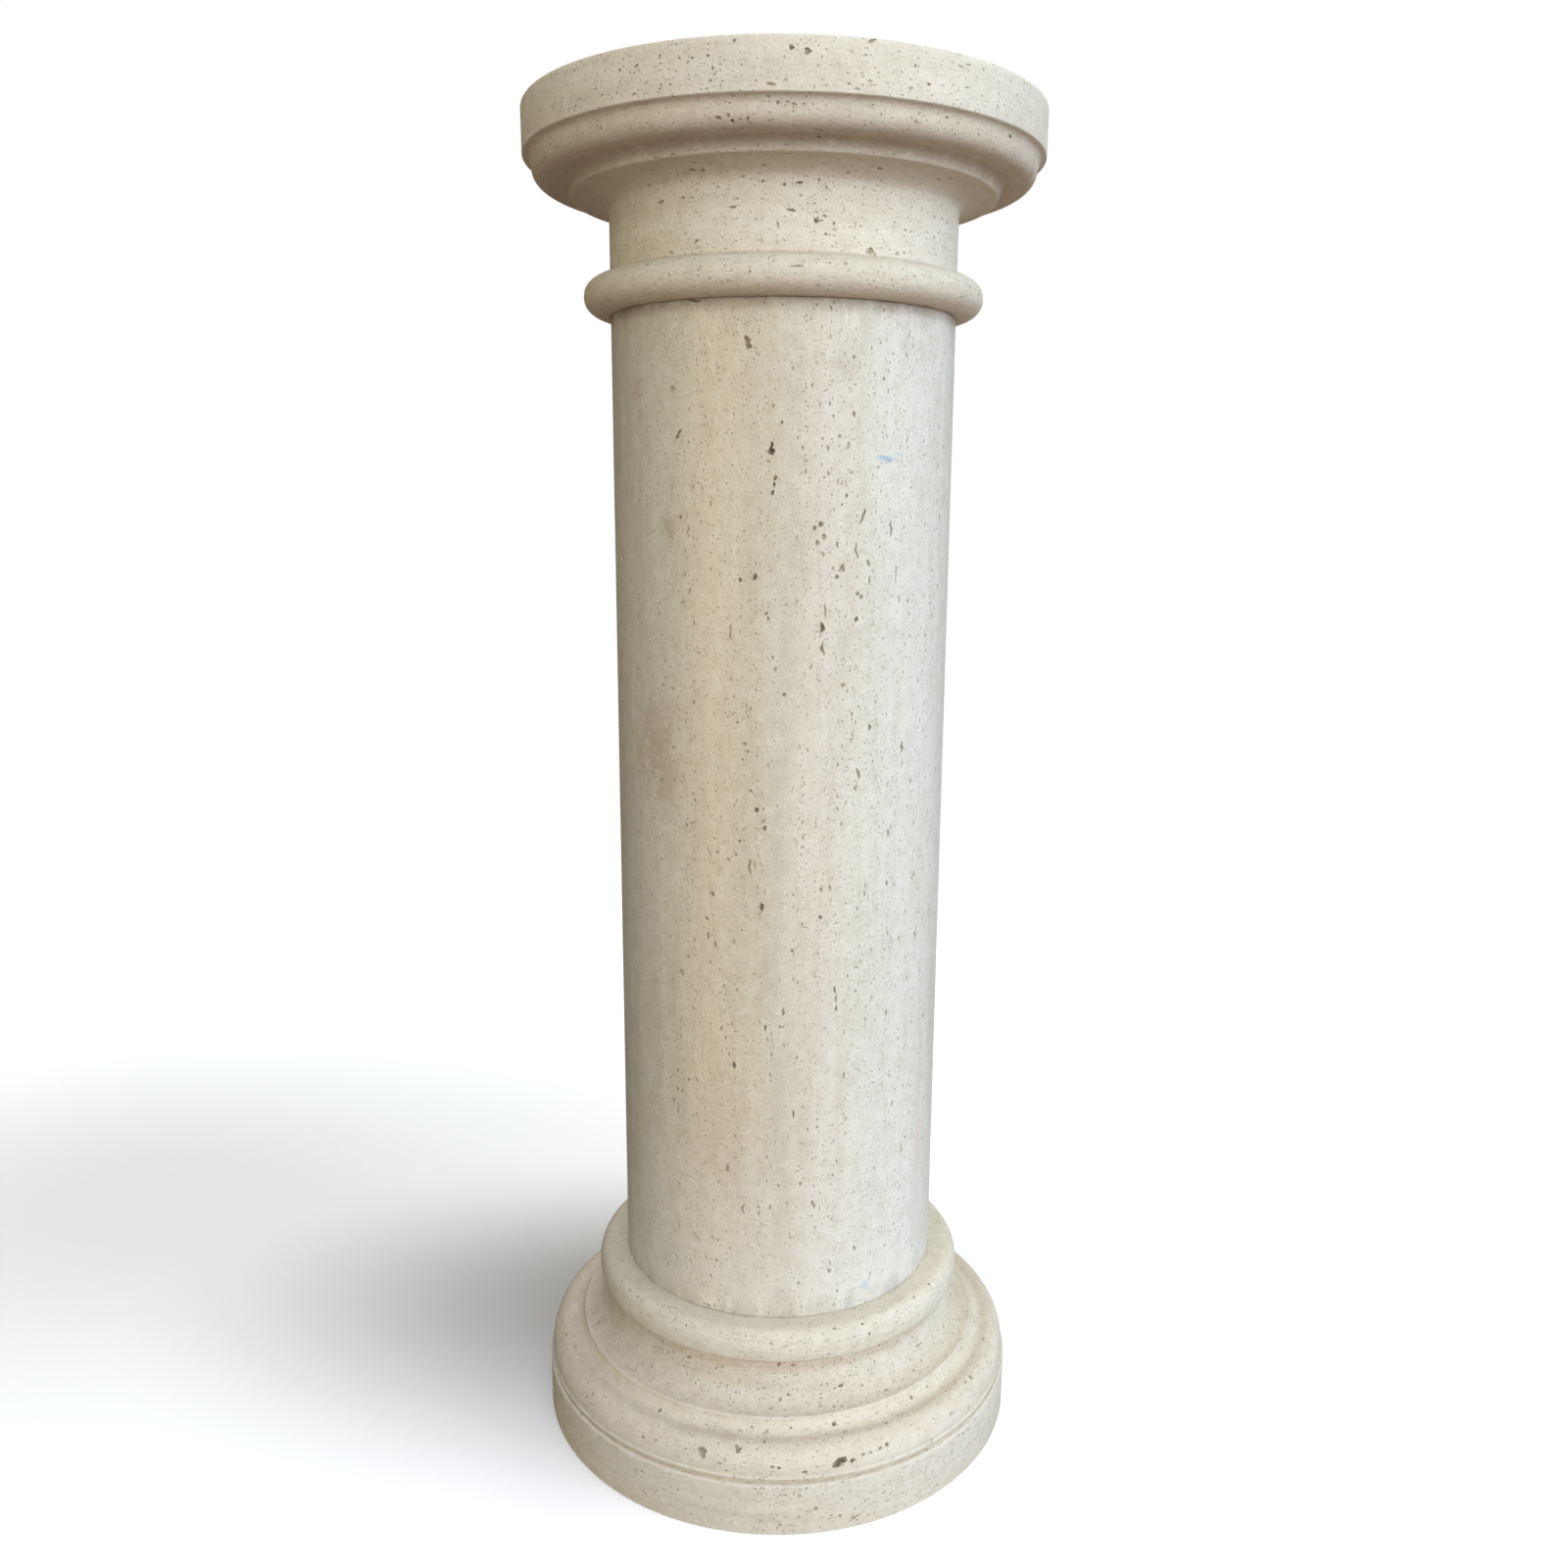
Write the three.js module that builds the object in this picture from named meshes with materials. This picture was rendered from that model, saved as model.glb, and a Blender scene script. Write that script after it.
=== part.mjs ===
import * as THREE from 'three';

// A turned travertine column in three stones: a moulded base, a plain round shaft
// and a capital with a round abacus. Millimetres, +Z up, origin at the centre of the underside.
// Heights are measured from the ground, radii from the axis.

// Whole column
const columnHeight = 1000;
const baseHeight = 132.5;
const capitalUnderside = 864;
const shaftRadius = 125.6;
const turnFaces = 56;
const easedEdge = 1;
const easedFoot = 0.6;

// Base
const plinthRadius = 191.2;
const plinthHeight = 40.4;
const plinthGroove = { radius: 188.6, height: 41 };
const bead = { radius: 188.4, height: 44.8, reach: 1.4, rise: 1.7 };
const lowerTorus = { radius: 175.8, height: 48.8, reach: 13.2, rise: 17 };
const lowerHollow = { radius: 171.8, height: 74, reach: 9, rise: 8.6 };
const baseFillet = { radius: 161.4, height: 74, reach: 1.4, rise: 1.2 };
const scotia = { radius: 160.8, height: 105.4, reach: 23, rise: 30.2 };
const upperTorus = { radius: 137, height: 119, reach: 11.5, rise: 13.5, fullness: 2.3 };

// Capital
const abacusRadius = 185.4;
const abacusUnderside = 969;
const abacusStep = { radius: 182, drop: 1.2 };
const astragal = { radius: 127.8, height: 877, reach: 16.8, rise: 12.6, fullness: 2.3 };
const neckTop = 934;
const cavetto = { radius: 147, height: neckTop, reach: 21.4, rise: 10.4 };
const capitalFillet = { radius: 151.8, height: 945.5, reach: 1.4, rise: 1.2 };
const upperHollow = { radius: 162.4, height: 945.4, reach: 8.8, rise: 7.4 };
const ovolo = { radius: 167, height: 966, reach: 12.2, rise: 14.1, fullness: 2.3 };

const point = (radius, height) => new THREE.Vector2(radius, height);

// A signed power, so that a full swelling keeps its side of the centre
const signedPower = (value, power) => Math.sign(value) * Math.abs(value) ** power;

// A stretch of an oval in the profile, from one angle to another in degrees.
// Angle 0 points away from the axis and 90 points up. Fullness over 2 squares the oval's shoulders.
function stretch(oval, from, to, steps) {
  const power = 2 / (oval.fullness ?? 2);
  return Array.from({ length: steps + 1 }, (_, step) => {
    const angle = THREE.MathUtils.degToRad(THREE.MathUtils.lerp(from, to, step / steps));
    return point(
      oval.radius + oval.reach * signedPower(Math.cos(angle), power),
      oval.height + oval.rise * signedPower(Math.sin(angle), power)
    );
  });
}

// An upright face from one height to another, with both its arrises eased
const uprightFace = (radius, low, high, easing) => [
  point(radius - easing, low),
  point(radius, low + easing),
  point(radius, high - easing),
  point(radius - easing, high)
];

// Plinth, groove, bead, lower torus, hollow, fillet, scotia and upper torus, from the ground up
const baseProfile = [
  point(0, 0),
  ...uprightFace(plinthRadius, 0, plinthHeight, easedEdge),
  point(plinthGroove.radius, plinthGroove.height),
  ...stretch(bead, -60, 60, 3),
  ...stretch(lowerTorus, -6, 90, 7),
  ...stretch(lowerHollow, 270, 180, 4),
  ...stretch(baseFillet, 20, 90, 2),
  ...stretch(scotia, 270, 180, 7),
  ...stretch(upperTorus, -85, 90, 10),
  point(0, baseHeight)
];

// A plain cylinder that stands on the base's top bed and carries the capital
const shaftProfile = [
  point(0, baseHeight),
  ...uprightFace(shaftRadius, baseHeight, capitalUnderside, easedFoot),
  point(0, capitalUnderside)
];

// Astragal, neck, cavetto, fillet, hollow, ovolo and the abacus with its flat top
const capitalProfile = [
  point(0, capitalUnderside),
  point(shaftRadius + easedFoot, capitalUnderside),
  ...stretch(astragal, -90, 84, 10),
  point(shaftRadius, astragal.height + astragal.rise),
  ...stretch(cavetto, 180, 90, 5),
  ...stretch(capitalFillet, -90, 0, 2),
  ...stretch(upperHollow, 180, 90, 4),
  ...stretch(ovolo, -90, 0, 7),
  point(abacusStep.radius - abacusStep.drop, abacusUnderside - abacusStep.drop),
  point(abacusStep.radius, abacusUnderside),
  ...uprightFace(abacusRadius, abacusUnderside, columnHeight, easedEdge),
  point(0, columnHeight)
];

const travertine = (color) => new THREE.MeshStandardMaterial({ color, roughness: 0.72, metalness: 0 });

// A profile turned once round the upright axis
function turnedStone(name, profile, material) {
  const geometry = new THREE.LatheGeometry(profile, turnFaces);
  geometry.rotateX(Math.PI / 2);
  const stone = new THREE.Mesh(geometry, material);
  stone.name = name;
  return stone;
}

const column = new THREE.Group();
column.name = 'column';
column.add(turnedStone('base', baseProfile, travertine('#cfc5b2')));
column.add(turnedStone('shaft', shaftProfile, travertine('#d2c9b8')));
column.add(turnedStone('capital', capitalProfile, travertine('#cbc1ae')));

export default column;
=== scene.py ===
import math

import bmesh
import bpy
import numpy as np
from mathutils import Matrix, Vector, kdtree, noise
from mathutils.bvhtree import BVHTree


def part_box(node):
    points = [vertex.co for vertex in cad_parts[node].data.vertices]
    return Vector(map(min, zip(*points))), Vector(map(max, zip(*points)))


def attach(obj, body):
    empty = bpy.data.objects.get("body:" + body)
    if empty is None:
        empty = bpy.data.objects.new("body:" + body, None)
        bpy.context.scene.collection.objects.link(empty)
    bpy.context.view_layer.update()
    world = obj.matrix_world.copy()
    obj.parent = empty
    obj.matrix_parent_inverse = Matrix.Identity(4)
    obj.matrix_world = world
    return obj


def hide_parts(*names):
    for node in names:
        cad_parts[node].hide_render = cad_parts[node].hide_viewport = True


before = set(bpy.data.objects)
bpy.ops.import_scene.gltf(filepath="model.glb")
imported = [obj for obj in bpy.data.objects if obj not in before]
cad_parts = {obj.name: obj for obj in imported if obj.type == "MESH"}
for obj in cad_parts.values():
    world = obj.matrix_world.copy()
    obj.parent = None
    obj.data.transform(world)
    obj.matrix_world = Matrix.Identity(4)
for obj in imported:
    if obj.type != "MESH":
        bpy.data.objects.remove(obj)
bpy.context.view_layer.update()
print("frame loaded:", sorted(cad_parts))

# Profiles and voids are written in millimetres, as in the CAD source. Meshes are in metres.
mm = 0.001
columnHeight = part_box("capital")[1].z / mm
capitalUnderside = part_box("shaft")[1].z / mm
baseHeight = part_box("shaft")[0].z / mm
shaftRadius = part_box("shaft")[1].x / mm
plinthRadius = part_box("base")[1].x / mm
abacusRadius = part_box("capital")[1].x / mm

# The camera as the photo's outlines give it, in metres and degrees, and its focal length in pixels
photoView = {
    "frameSide": 1600,
    "focalLength": 1378.9,
    "position": (0.0, -1.0397, 0.7343),
    "pitchDown": 11.792,
    "roll": -0.368,
    "yaw": 0.145,
    "sensorWidth": 36.0,
}


def cameraAxes(view):
    pitch = math.radians(view["pitchDown"])
    roll = math.radians(view["roll"])
    yaw = math.radians(view["yaw"])
    forward = Vector((math.sin(yaw) * math.cos(pitch), math.cos(yaw) * math.cos(pitch), -math.sin(pitch)))
    levelRight = Vector((math.cos(yaw), -math.sin(yaw), 0))
    levelDown = forward.cross(levelRight)
    right = levelRight * math.cos(roll) + levelDown * math.sin(roll)
    down = levelDown * math.cos(roll) - levelRight * math.sin(roll)
    return right, down, forward


def makeCamera(view):
    right, down, forward = cameraAxes(view)
    camera = bpy.data.objects.new("photoCamera", bpy.data.cameras.new("photoCamera"))
    camera.data.sensor_width = view["sensorWidth"]
    camera.data.lens = view["focalLength"] / view["frameSide"] * view["sensorWidth"]
    placing = Matrix((right, -down, -forward)).transposed().to_4x4()
    placing.translation = Vector(view["position"])
    camera.matrix_world = placing
    bpy.context.scene.collection.objects.link(camera)
    bpy.context.scene.camera = camera


def rayThrough(across, down):
    right, downwards, forward = cameraAxes(photoView)
    middle = photoView["frameSide"] / 2
    ray = forward + right * ((across - middle) / photoView["focalLength"])
    ray += downwards * ((down - middle) / photoView["focalLength"])
    return Vector(photoView["position"]), ray.normalized()


makeCamera(photoView)


# Profiles
# A profile is a list of (radius, height) points from the axis at the bottom to the axis at the top.

def signedPower(value, power):
    return math.copysign(abs(value) ** power, value)


# A stretch of an oval from one angle to another: angle 0 points away from the axis and 90 points up.
# A fullness over 2 squares the oval's shoulders.
def stretch(oval, start, end, steps):
    power = 2 / oval.get("fullness", 2)
    points = []
    for step in range(steps + 1):
        angle = math.radians(start + (end - start) * step / steps)
        points.append((
            oval["radius"] + oval["reach"] * signedPower(math.cos(angle), power),
            oval["height"] + oval["rise"] * signedPower(math.sin(angle), power),
        ))
    return points


# An upright face whose two arrises are rounded off by the same easing
def uprightFace(radius, low, high, easing):
    foot = {"radius": radius - easing, "height": low + easing, "reach": easing, "rise": easing}
    head = {**foot, "height": high - easing}
    return stretch(foot, -90, 0, 4) + stretch(head, 0, 90, 4)


baseShape = {
    "arrisEasing": 1.0,
    "plinthHeight": 40.4,
    "plinthGroove": (188.6, 41.0),
    "bead": {"radius": 188.4, "height": 44.8, "reach": 1.4, "rise": 1.7},
    "lowerTorus": {"radius": 175.8, "height": 48.8, "reach": 13.2, "rise": 17},
    "lowerHollow": {"radius": 171.8, "height": 74, "reach": 9, "rise": 8.6},
    "fillet": {"radius": 161.4, "height": 74, "reach": 1.4, "rise": 1.2},
    "filletArris": (162.8, 75.1),
    "footArrisHeight": 0.6,
    "scotia": {"radius": 160.8, "height": 105.4, "reach": 23, "rise": 30.2},
    "upperTorus": {"radius": 137, "height": 119, "reach": 11.5, "rise": 13.5, "fullness": 2.3},
}


def baseProfile(shape):
    return [
        (0, 0),
        *uprightFace(plinthRadius, 0, shape["plinthHeight"], shape["arrisEasing"]),
        shape["plinthGroove"],
        *stretch(shape["bead"], -60, 60, 6),
        *stretch(shape["lowerTorus"], -6, 90, 20),
        *stretch(shape["lowerHollow"], 270, 180, 12),
        *stretch(shape["fillet"], 20, 90, 4),
        *stretch(shape["scotia"], 270, 180, 24),
        *stretch(shape["upperTorus"], -85, 90, 24),
        (0, baseHeight),
    ]


def shaftProfile(easedFoot):
    side = uprightFace(shaftRadius, baseHeight, capitalUnderside, easedFoot)
    return [(0, baseHeight), *side, (0, capitalUnderside)]


capitalShape = {
    "arrisEasing": 1.0,
    "abacusUnderside": 969,
    "astragal": {"radius": 127.8, "height": 877, "reach": 16.8, "rise": 12.6, "fullness": 2.3},
    "cavetto": {"radius": 147, "height": 934, "reach": 21.4, "rise": 10.4},
    "fillet": {"radius": 151.8, "height": 945.5, "reach": 1.4, "rise": 1.2},
    "filletArris": (153.2, 945),
    "upperHollow": {"radius": 162.4, "height": 945.4, "reach": 8.8, "rise": 7.4},
    "ovolo": {"radius": 167, "height": 962, "reach": 12.2, "rise": 10.1, "fullness": 2.3},
    "crownCove": {"radius": 184.2, "height": 962, "reach": 5, "rise": 6.8},
}


def capitalProfile(shape, easedFoot):
    astragalTop = shape["astragal"]["height"] + shape["astragal"]["rise"]
    return [
        (0, capitalUnderside),
        (shaftRadius + easedFoot, capitalUnderside),
        *stretch(shape["astragal"], -90, 84, 28),
        (shaftRadius, astragalTop),
        *stretch(shape["cavetto"], 180, 90, 14),
        *stretch(shape["fillet"], -90, 0, 4),
        *stretch(shape["upperHollow"], 180, 90, 10),
        *stretch(shape["ovolo"], -90, 0, 16),
        *stretch(shape["crownCove"], 180, 90, 10),
        *uprightFace(abacusRadius, shape["abacusUnderside"], columnHeight, shape["arrisEasing"]),
        (0, columnHeight),
    ]


# Turning
turning = {
    "facesRound": 256,
    "longestOnBed": 24.0,
    "longestOnShaft": 18,
    "longestOnMouldings": 2.8,
    "bedWithin": 0.01,
    "crispOver": 20,  # in degrees, the angle between two faces from which their edge stays crisp
    "unevenness": 0.22,  # how far the hand-finished face falls short of the true round
    "unevenSize": 45.0,
}


# Adds points so that no step along the profile is over the longest, and the beds keep wide steps
def withFillIn(profile, longest):
    filled = [profile[0]]
    for before, after in zip(profile, profile[1:]):
        onBed = before[0] == 0 or after[0] == 0
        limit = turning["longestOnBed"] if onBed else longest
        pieces = max(1, math.ceil(math.dist(before, after) / limit))
        for piece in range(1, pieces + 1):
            share = piece / pieces
            filled.append(tuple(low + (high - low) * share for low, high in zip(before, after)))
    return filled


# Turns a filled profile into a closed mesh. Faces that stay hidden in a joint or under the plinth
# are marked as bed.
def turnedStone(name, profile, bedHeights):
    count = turning["facesRound"]
    mesh = bmesh.new()
    rings = []
    for radius, height in profile:
        if radius == 0:
            rings.append([mesh.verts.new((0, 0, height * mm))] * count)
            continue
        ring = []
        for step in range(count):
            angle = 2 * math.pi * step / count
            spot = Vector((math.cos(angle) * radius, math.sin(angle) * radius, height))
            short = turning["unevenness"] * (0.5 + 0.5 * noise.noise(spot / turning["unevenSize"]))
            flat = radius / max(radius, shaftRadius)
            outwards = Vector((spot.x, spot.y, 0)).normalized()
            ring.append(mesh.verts.new(spot * mm - outwards * short * flat * mm))
        rings.append(ring)
    onBed = mesh.faces.layers.float.new("bed")
    for low, high in zip(rings, rings[1:]):
        for step in range(count):
            after = (step + 1) % count
            corners = dict.fromkeys((low[step], low[after], high[after], high[step]))
            face = mesh.faces.new(corners)
            face.smooth = True
            heights = [corner.co.z / mm for corner in corners]
            offBeds = [max(abs(height - bed) for height in heights) for bed in bedHeights]
            face[onBed] = min(offBeds) < turning["bedWithin"]
    stone = bpy.data.objects.new(name, bpy.data.meshes.new(name))
    mesh.to_mesh(stone.data)
    mesh.free()
    bpy.context.scene.collection.objects.link(stone)
    return stone


# Node trees

# Adds a node, sets its properties, and links or sets its inputs, which are named or numbered
def addNode(tree, kind, inputs=None, **properties):
    node = tree.nodes.new(kind)
    for name, value in properties.items():
        setattr(node, name, value)
    for name, value in (inputs or {}).items():
        if isinstance(value, bpy.types.NodeSocket):
            tree.links.new(value, node.inputs[name])
        else:
            node.inputs[name].default_value = value
    return node


def calculate(tree, operation, *values):
    return addNode(tree, "ShaderNodeMath", dict(enumerate(values)), operation=operation).outputs[0]


def vectorMath(tree, operation, *values):
    node = addNode(tree, "ShaderNodeVectorMath", dict(enumerate(values)), operation=operation)
    return node.outputs["Value" if operation in ("LENGTH", "DOT_PRODUCT", "DISTANCE") else "Vector"]


def scaled(tree, vector, factor):
    node = addNode(tree, "ShaderNodeVectorMath", {0: vector, "Scale": factor}, operation="SCALE")
    return node.outputs["Vector"]


def remap(tree, value, fromLow, fromHigh, toLow=0.0, toHigh=1.0):
    ends = {"Value": value, "From Min": fromLow, "From Max": fromHigh, "To Min": toLow, "To Max": toHigh}
    return addNode(tree, "ShaderNodeMapRange", ends).outputs["Result"]


# A noise as a shift either way from zero
def centredNoise(tree, vector, scale, detail):
    cloud = addNode(tree, "ShaderNodeTexNoise", {"Vector": vector, "Scale": scale, "Detail": detail})
    return vectorMath(tree, "SUBTRACT", cloud.outputs["Color"], (0.5, 0.5, 0.5))


def newTree(name, kind, inputs, outputs):
    tree = bpy.data.node_groups.new(name, kind)
    for socketName, socketKind, default in inputs:
        socket = tree.interface.new_socket(socketName, in_out="INPUT", socket_type="NodeSocket" + socketKind)
        if default is not None:
            socket.default_value = default
    for socketName, socketKind in outputs:
        tree.interface.new_socket(socketName, in_out="OUTPUT", socket_type="NodeSocket" + socketKind)
    return tree, tree.nodes.new("NodeGroupInput").outputs, tree.nodes.new("NodeGroupOutput").inputs


# Voids that Geometry Nodes scatter

# How the scattered lumps vary, in metres and shares of a lump's own size
lumpHabit = {
    "frontEnds": -0.02,  # how far back the photographed side reaches, and where the unseen side starts
    "backStarts": 0.06,
    "sizeBias": 2.5,  # over 1 gives many small lumps and few large ones
    "deepest": -0.2,
    "shallowest": 0.22,
    "crumbleScale": 560.0,
    "crumblePush": 0.9,
    "biteBias": 3.0,
    "biteCrumbleScale": 600.0,
    "biteCrumblePush": 0.0009,
    "liftSeed": 7,
    "leanSeed": 11,
    "shapeSeed": 5,
}


# Makes instances real, pushes their points about by a noise, and gives them their material
def crumbled(tree, instances, scale, push, material):
    real = addNode(tree, "GeometryNodeRealizeInstances", {"Geometry": instances}).outputs["Geometry"]
    place = addNode(tree, "GeometryNodeInputPosition").outputs["Position"]
    shift = scaled(tree, centredNoise(tree, place, scale, 1.0), push)
    rough = addNode(tree, "GeometryNodeSetPosition", {"Geometry": real, "Offset": shift})
    return addNode(tree, "GeometryNodeSetMaterial", {
        "Geometry": rough.outputs["Geometry"],
        "Material": material,
    }).outputs["Geometry"]


# A random size for each point, between the tree's smallest and largest
def randomSize(tree, given, bias):
    chance = addNode(tree, "FunctionNodeRandomValue", {2: 0.0, 3: 1.0, "Seed": given["Seed"]}).outputs[1]
    biased = calculate(tree, "POWER", chance, bias)
    return remap(tree, biased, 0.0, 1.0, given["Smallest"], given["Largest"])


# Lumps scattered over a stone, crowded into trails along its bedding. Each is cut out of the stone later.
def scatteredVoidsTree():
    tree, given, result = newTree("scatteredVoids", "GeometryNodeTree", [
        ("Stone", "Geometry", None),
        ("Spacing", "Float", 0.005),
        ("Most Per Area", "Float", 4000.0),
        ("Trail Stretch", "Vector", (40.0, 40.0, 8.0)),
        ("Trail From", "Float", 0.5),
        ("Trail To", "Float", 0.7),
        ("Off Trail", "Float", 0.05),
        ("Share In Front", "Float", 1.0),
        ("Share Behind", "Float", 0.5),
        ("Smallest", "Float", 0.001),
        ("Largest", "Float", 0.003),
        ("Squat Shape", "Vector", (0.8, 1.0, 0.7)),
        ("Long Shape", "Vector", (1.1, 2.4, 1.1)),
        ("Lean", "Float", 0.4),
        ("Facets", "Int", 2),
        ("Seed", "Int", 1),
        ("Finish", "Material", None),
    ], [("Voids", "Geometry")])
    place = addNode(tree, "GeometryNodeInputPosition").outputs["Position"]
    trail = addNode(tree, "ShaderNodeTexNoise", {
        "Vector": vectorMath(tree, "MULTIPLY", place, given["Trail Stretch"]),
        "Scale": 1.0,
        "Detail": 3.0,
    }).outputs[0]
    crowding = remap(tree, trail, given["Trail From"], given["Trail To"], given["Off Trail"], 1.0)
    depthwise = addNode(tree, "ShaderNodeSeparateXYZ", {0: place}).outputs["Y"]
    share = remap(tree, depthwise, lumpHabit["frontEnds"], lumpHabit["backStarts"],
                  given["Share In Front"], given["Share Behind"])
    crowding = calculate(tree, "MULTIPLY", crowding, share)
    bed = addNode(tree, "GeometryNodeInputNamedAttribute", {"Name": "bed"}, data_type="FLOAT")
    ends = {0: bed.outputs["Attribute"], 1: 0.5}
    offBed = addNode(tree, "FunctionNodeCompare", ends, operation="LESS_THAN")
    spread = addNode(tree, "GeometryNodeDistributePointsOnFaces", {
        "Mesh": given["Stone"],
        "Selection": offBed.outputs[0],
        "Distance Min": given["Spacing"],
        "Density Max": given["Most Per Area"],
        "Density Factor": crowding,
        "Seed": given["Seed"],
    }, distribute_method="POISSON")

    size = randomSize(tree, given, lumpHabit["sizeBias"])
    sized = addNode(tree, "GeometryNodeStoreNamedAttribute", {
        "Geometry": spread.outputs["Points"],
        "Name": "voidSize",
        "Value": size,
    }, data_type="FLOAT", domain="POINT").outputs["Geometry"]
    lift = addNode(tree, "FunctionNodeRandomValue", {
        2: lumpHabit["deepest"],
        3: lumpHabit["shallowest"],
        "Seed": lumpHabit["liftSeed"],
    }).outputs[1]
    normal = spread.outputs["Normal"]
    lifted = addNode(tree, "GeometryNodeSetPosition", {
        "Geometry": sized,
        "Offset": scaled(tree, normal, calculate(tree, "MULTIPLY", lift, size)),
    }).outputs["Geometry"]

    # Z out of the stone, Y up, then a random lean
    facing = addNode(tree, "FunctionNodeAlignRotationToVector", {"Vector": normal}, axis="Z")
    upright = addNode(tree, "FunctionNodeAlignRotationToVector", {
        "Rotation": facing.outputs[0],
        "Vector": (0, 0, 1),
    }, axis="Y", pivot_axis="Z")
    lean = addNode(tree, "FunctionNodeRandomValue", {
        2: calculate(tree, "MULTIPLY", given["Lean"], -1.0),
        3: given["Lean"],
        "Seed": lumpHabit["leanSeed"],
    }).outputs[1]
    leaning = addNode(tree, "FunctionNodeEulerToRotation", {
        "Euler": addNode(tree, "ShaderNodeCombineXYZ", {"Z": lean}).outputs[0],
    }).outputs[0]
    turned = addNode(tree, "FunctionNodeRotateRotation", {
        "Rotation": upright.outputs[0],
        "Rotate By": leaning,
    }, rotation_space="LOCAL").outputs[0]
    shape = addNode(tree, "FunctionNodeRandomValue", {
        0: given["Squat Shape"],
        1: given["Long Shape"],
        "Seed": lumpHabit["shapeSeed"],
    }, data_type="FLOAT_VECTOR").outputs[0]
    lump = addNode(tree, "GeometryNodeMeshIcoSphere", {"Radius": 0.5, "Subdivisions": given["Facets"]})
    placed = addNode(tree, "GeometryNodeInstanceOnPoints", {
        "Points": lifted,
        "Instance": lump.outputs["Mesh"],
        "Rotation": turned,
        "Scale": scaled(tree, shape, size),
    }).outputs["Instances"]

    # Crumbles each lump by its own size, so that no two openings are alike
    ownSize = addNode(tree, "GeometryNodeInputNamedAttribute", {"Name": "voidSize"}, data_type="FLOAT")
    push = calculate(tree, "MULTIPLY", ownSize.outputs["Attribute"], lumpHabit["crumblePush"])
    voids = crumbled(tree, placed, lumpHabit["crumbleScale"], push, given["Finish"])
    tree.links.new(voids, result["Voids"])
    return tree


# Small bites taken along a turned arris, at random places of a ring
def nibbledArrisTree():
    tree, given, result = newTree("nibbledArris", "GeometryNodeTree", [
        ("Stone", "Geometry", None),
        ("Radius", "Float", 0.1),
        ("Height", "Float", 0.1),
        ("Places", "Int", 200),
        ("Share", "Float", 0.3),
        ("Smallest", "Float", 0.0008),
        ("Largest", "Float", 0.003),
        ("Shape", "Vector", (0.5, 1.4, 0.6)),
        ("Seed", "Int", 1),
        ("Finish", "Material", None),
    ], [("Bites", "Geometry")])
    ring = addNode(tree, "GeometryNodeMeshCircle", {"Vertices": given["Places"], "Radius": given["Radius"]})
    raised = addNode(tree, "GeometryNodeSetPosition", {
        "Geometry": ring.outputs["Mesh"],
        "Offset": addNode(tree, "ShaderNodeCombineXYZ", {"Z": given["Height"]}).outputs[0],
    }).outputs["Geometry"]
    taken = addNode(tree, "FunctionNodeRandomValue", {
        "Probability": given["Share"],
        "Seed": given["Seed"],
    }, data_type="BOOLEAN").outputs[3]
    place = addNode(tree, "GeometryNodeInputPosition").outputs["Position"]
    outwards = vectorMath(tree, "MULTIPLY", place, (1.0, 1.0, 0.0))
    facing = addNode(tree, "FunctionNodeAlignRotationToVector", {"Vector": outwards}, axis="X")
    bite = addNode(tree, "GeometryNodeMeshIcoSphere", {"Radius": 0.5, "Subdivisions": 2})
    placed = addNode(tree, "GeometryNodeInstanceOnPoints", {
        "Points": raised,
        "Selection": taken,
        "Instance": bite.outputs["Mesh"],
        "Rotation": facing.outputs[0],
        "Scale": scaled(tree, given["Shape"], randomSize(tree, given, lumpHabit["biteBias"])),
    }).outputs["Instances"]
    scale = lumpHabit["biteCrumbleScale"]
    bites = crumbled(tree, placed, scale, lumpHabit["biteCrumblePush"], given["Finish"])
    tree.links.new(bites, result["Bites"])
    return tree


# Runs a tree on a stone's mesh and returns what it makes as a plain mesh
def grown(tree, stone, values):
    holder = bpy.data.objects.new("grower", stone.data)
    bpy.context.scene.collection.objects.link(holder)
    modifier = holder.modifiers.new("grow", "NODES")
    modifier.node_group = tree
    for item in tree.interface.items_tree:
        if item.in_out == "INPUT" and item.name in values:
            modifier[item.identifier] = values[item.name]
    graph = bpy.context.evaluated_depsgraph_get()
    mesh = bpy.data.meshes.new_from_object(holder.evaluated_get(graph), depsgraph=graph)
    holder.modifiers.remove(modifier)
    bpy.data.objects.remove(holder)
    return mesh


# Cuts a mesh of lumps, none of which touch each other, out of a stone
def carve(stone, lumps):
    cutter = bpy.data.objects.new("cutter", lumps)
    bpy.context.scene.collection.objects.link(cutter)
    modifier = stone.modifiers.new("carve", "BOOLEAN")
    modifier.operation = "DIFFERENCE"
    modifier.solver = "MANIFOLD"
    modifier.object = cutter
    graph = bpy.context.evaluated_depsgraph_get()
    carved = bpy.data.meshes.new_from_object(stone.evaluated_get(graph), depsgraph=graph)
    stone.modifiers.remove(modifier)
    whole = stone.data
    stone.data = carved
    carved.name = stone.name
    bpy.data.objects.remove(cutter)
    bpy.data.meshes.remove(whole)
    bpy.data.meshes.remove(lumps)


# Voids seen in the photo

# How a picked void is crumbled, where a push of 1 is as long as the lump is wide
pickedLump = {
    "finerOver": 3.5,  # in millimetres, the size from which a lump has more facets
    "coarseScale": 2.6,
    "coarsePush": 0.5,
    "fineScale": 6.5,
    "finePush": 0.2,
    "wanderScale": 3.1,  # how a slim lump winds from side to side
    "wanderPush": 0.3,
    "wanderMost": 0.9,
    "stretch": (0.86, 0.93, 2.1),  # makes up for the crumbling, and for the half that stands outside
    "clearance": 0.9,
}


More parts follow.
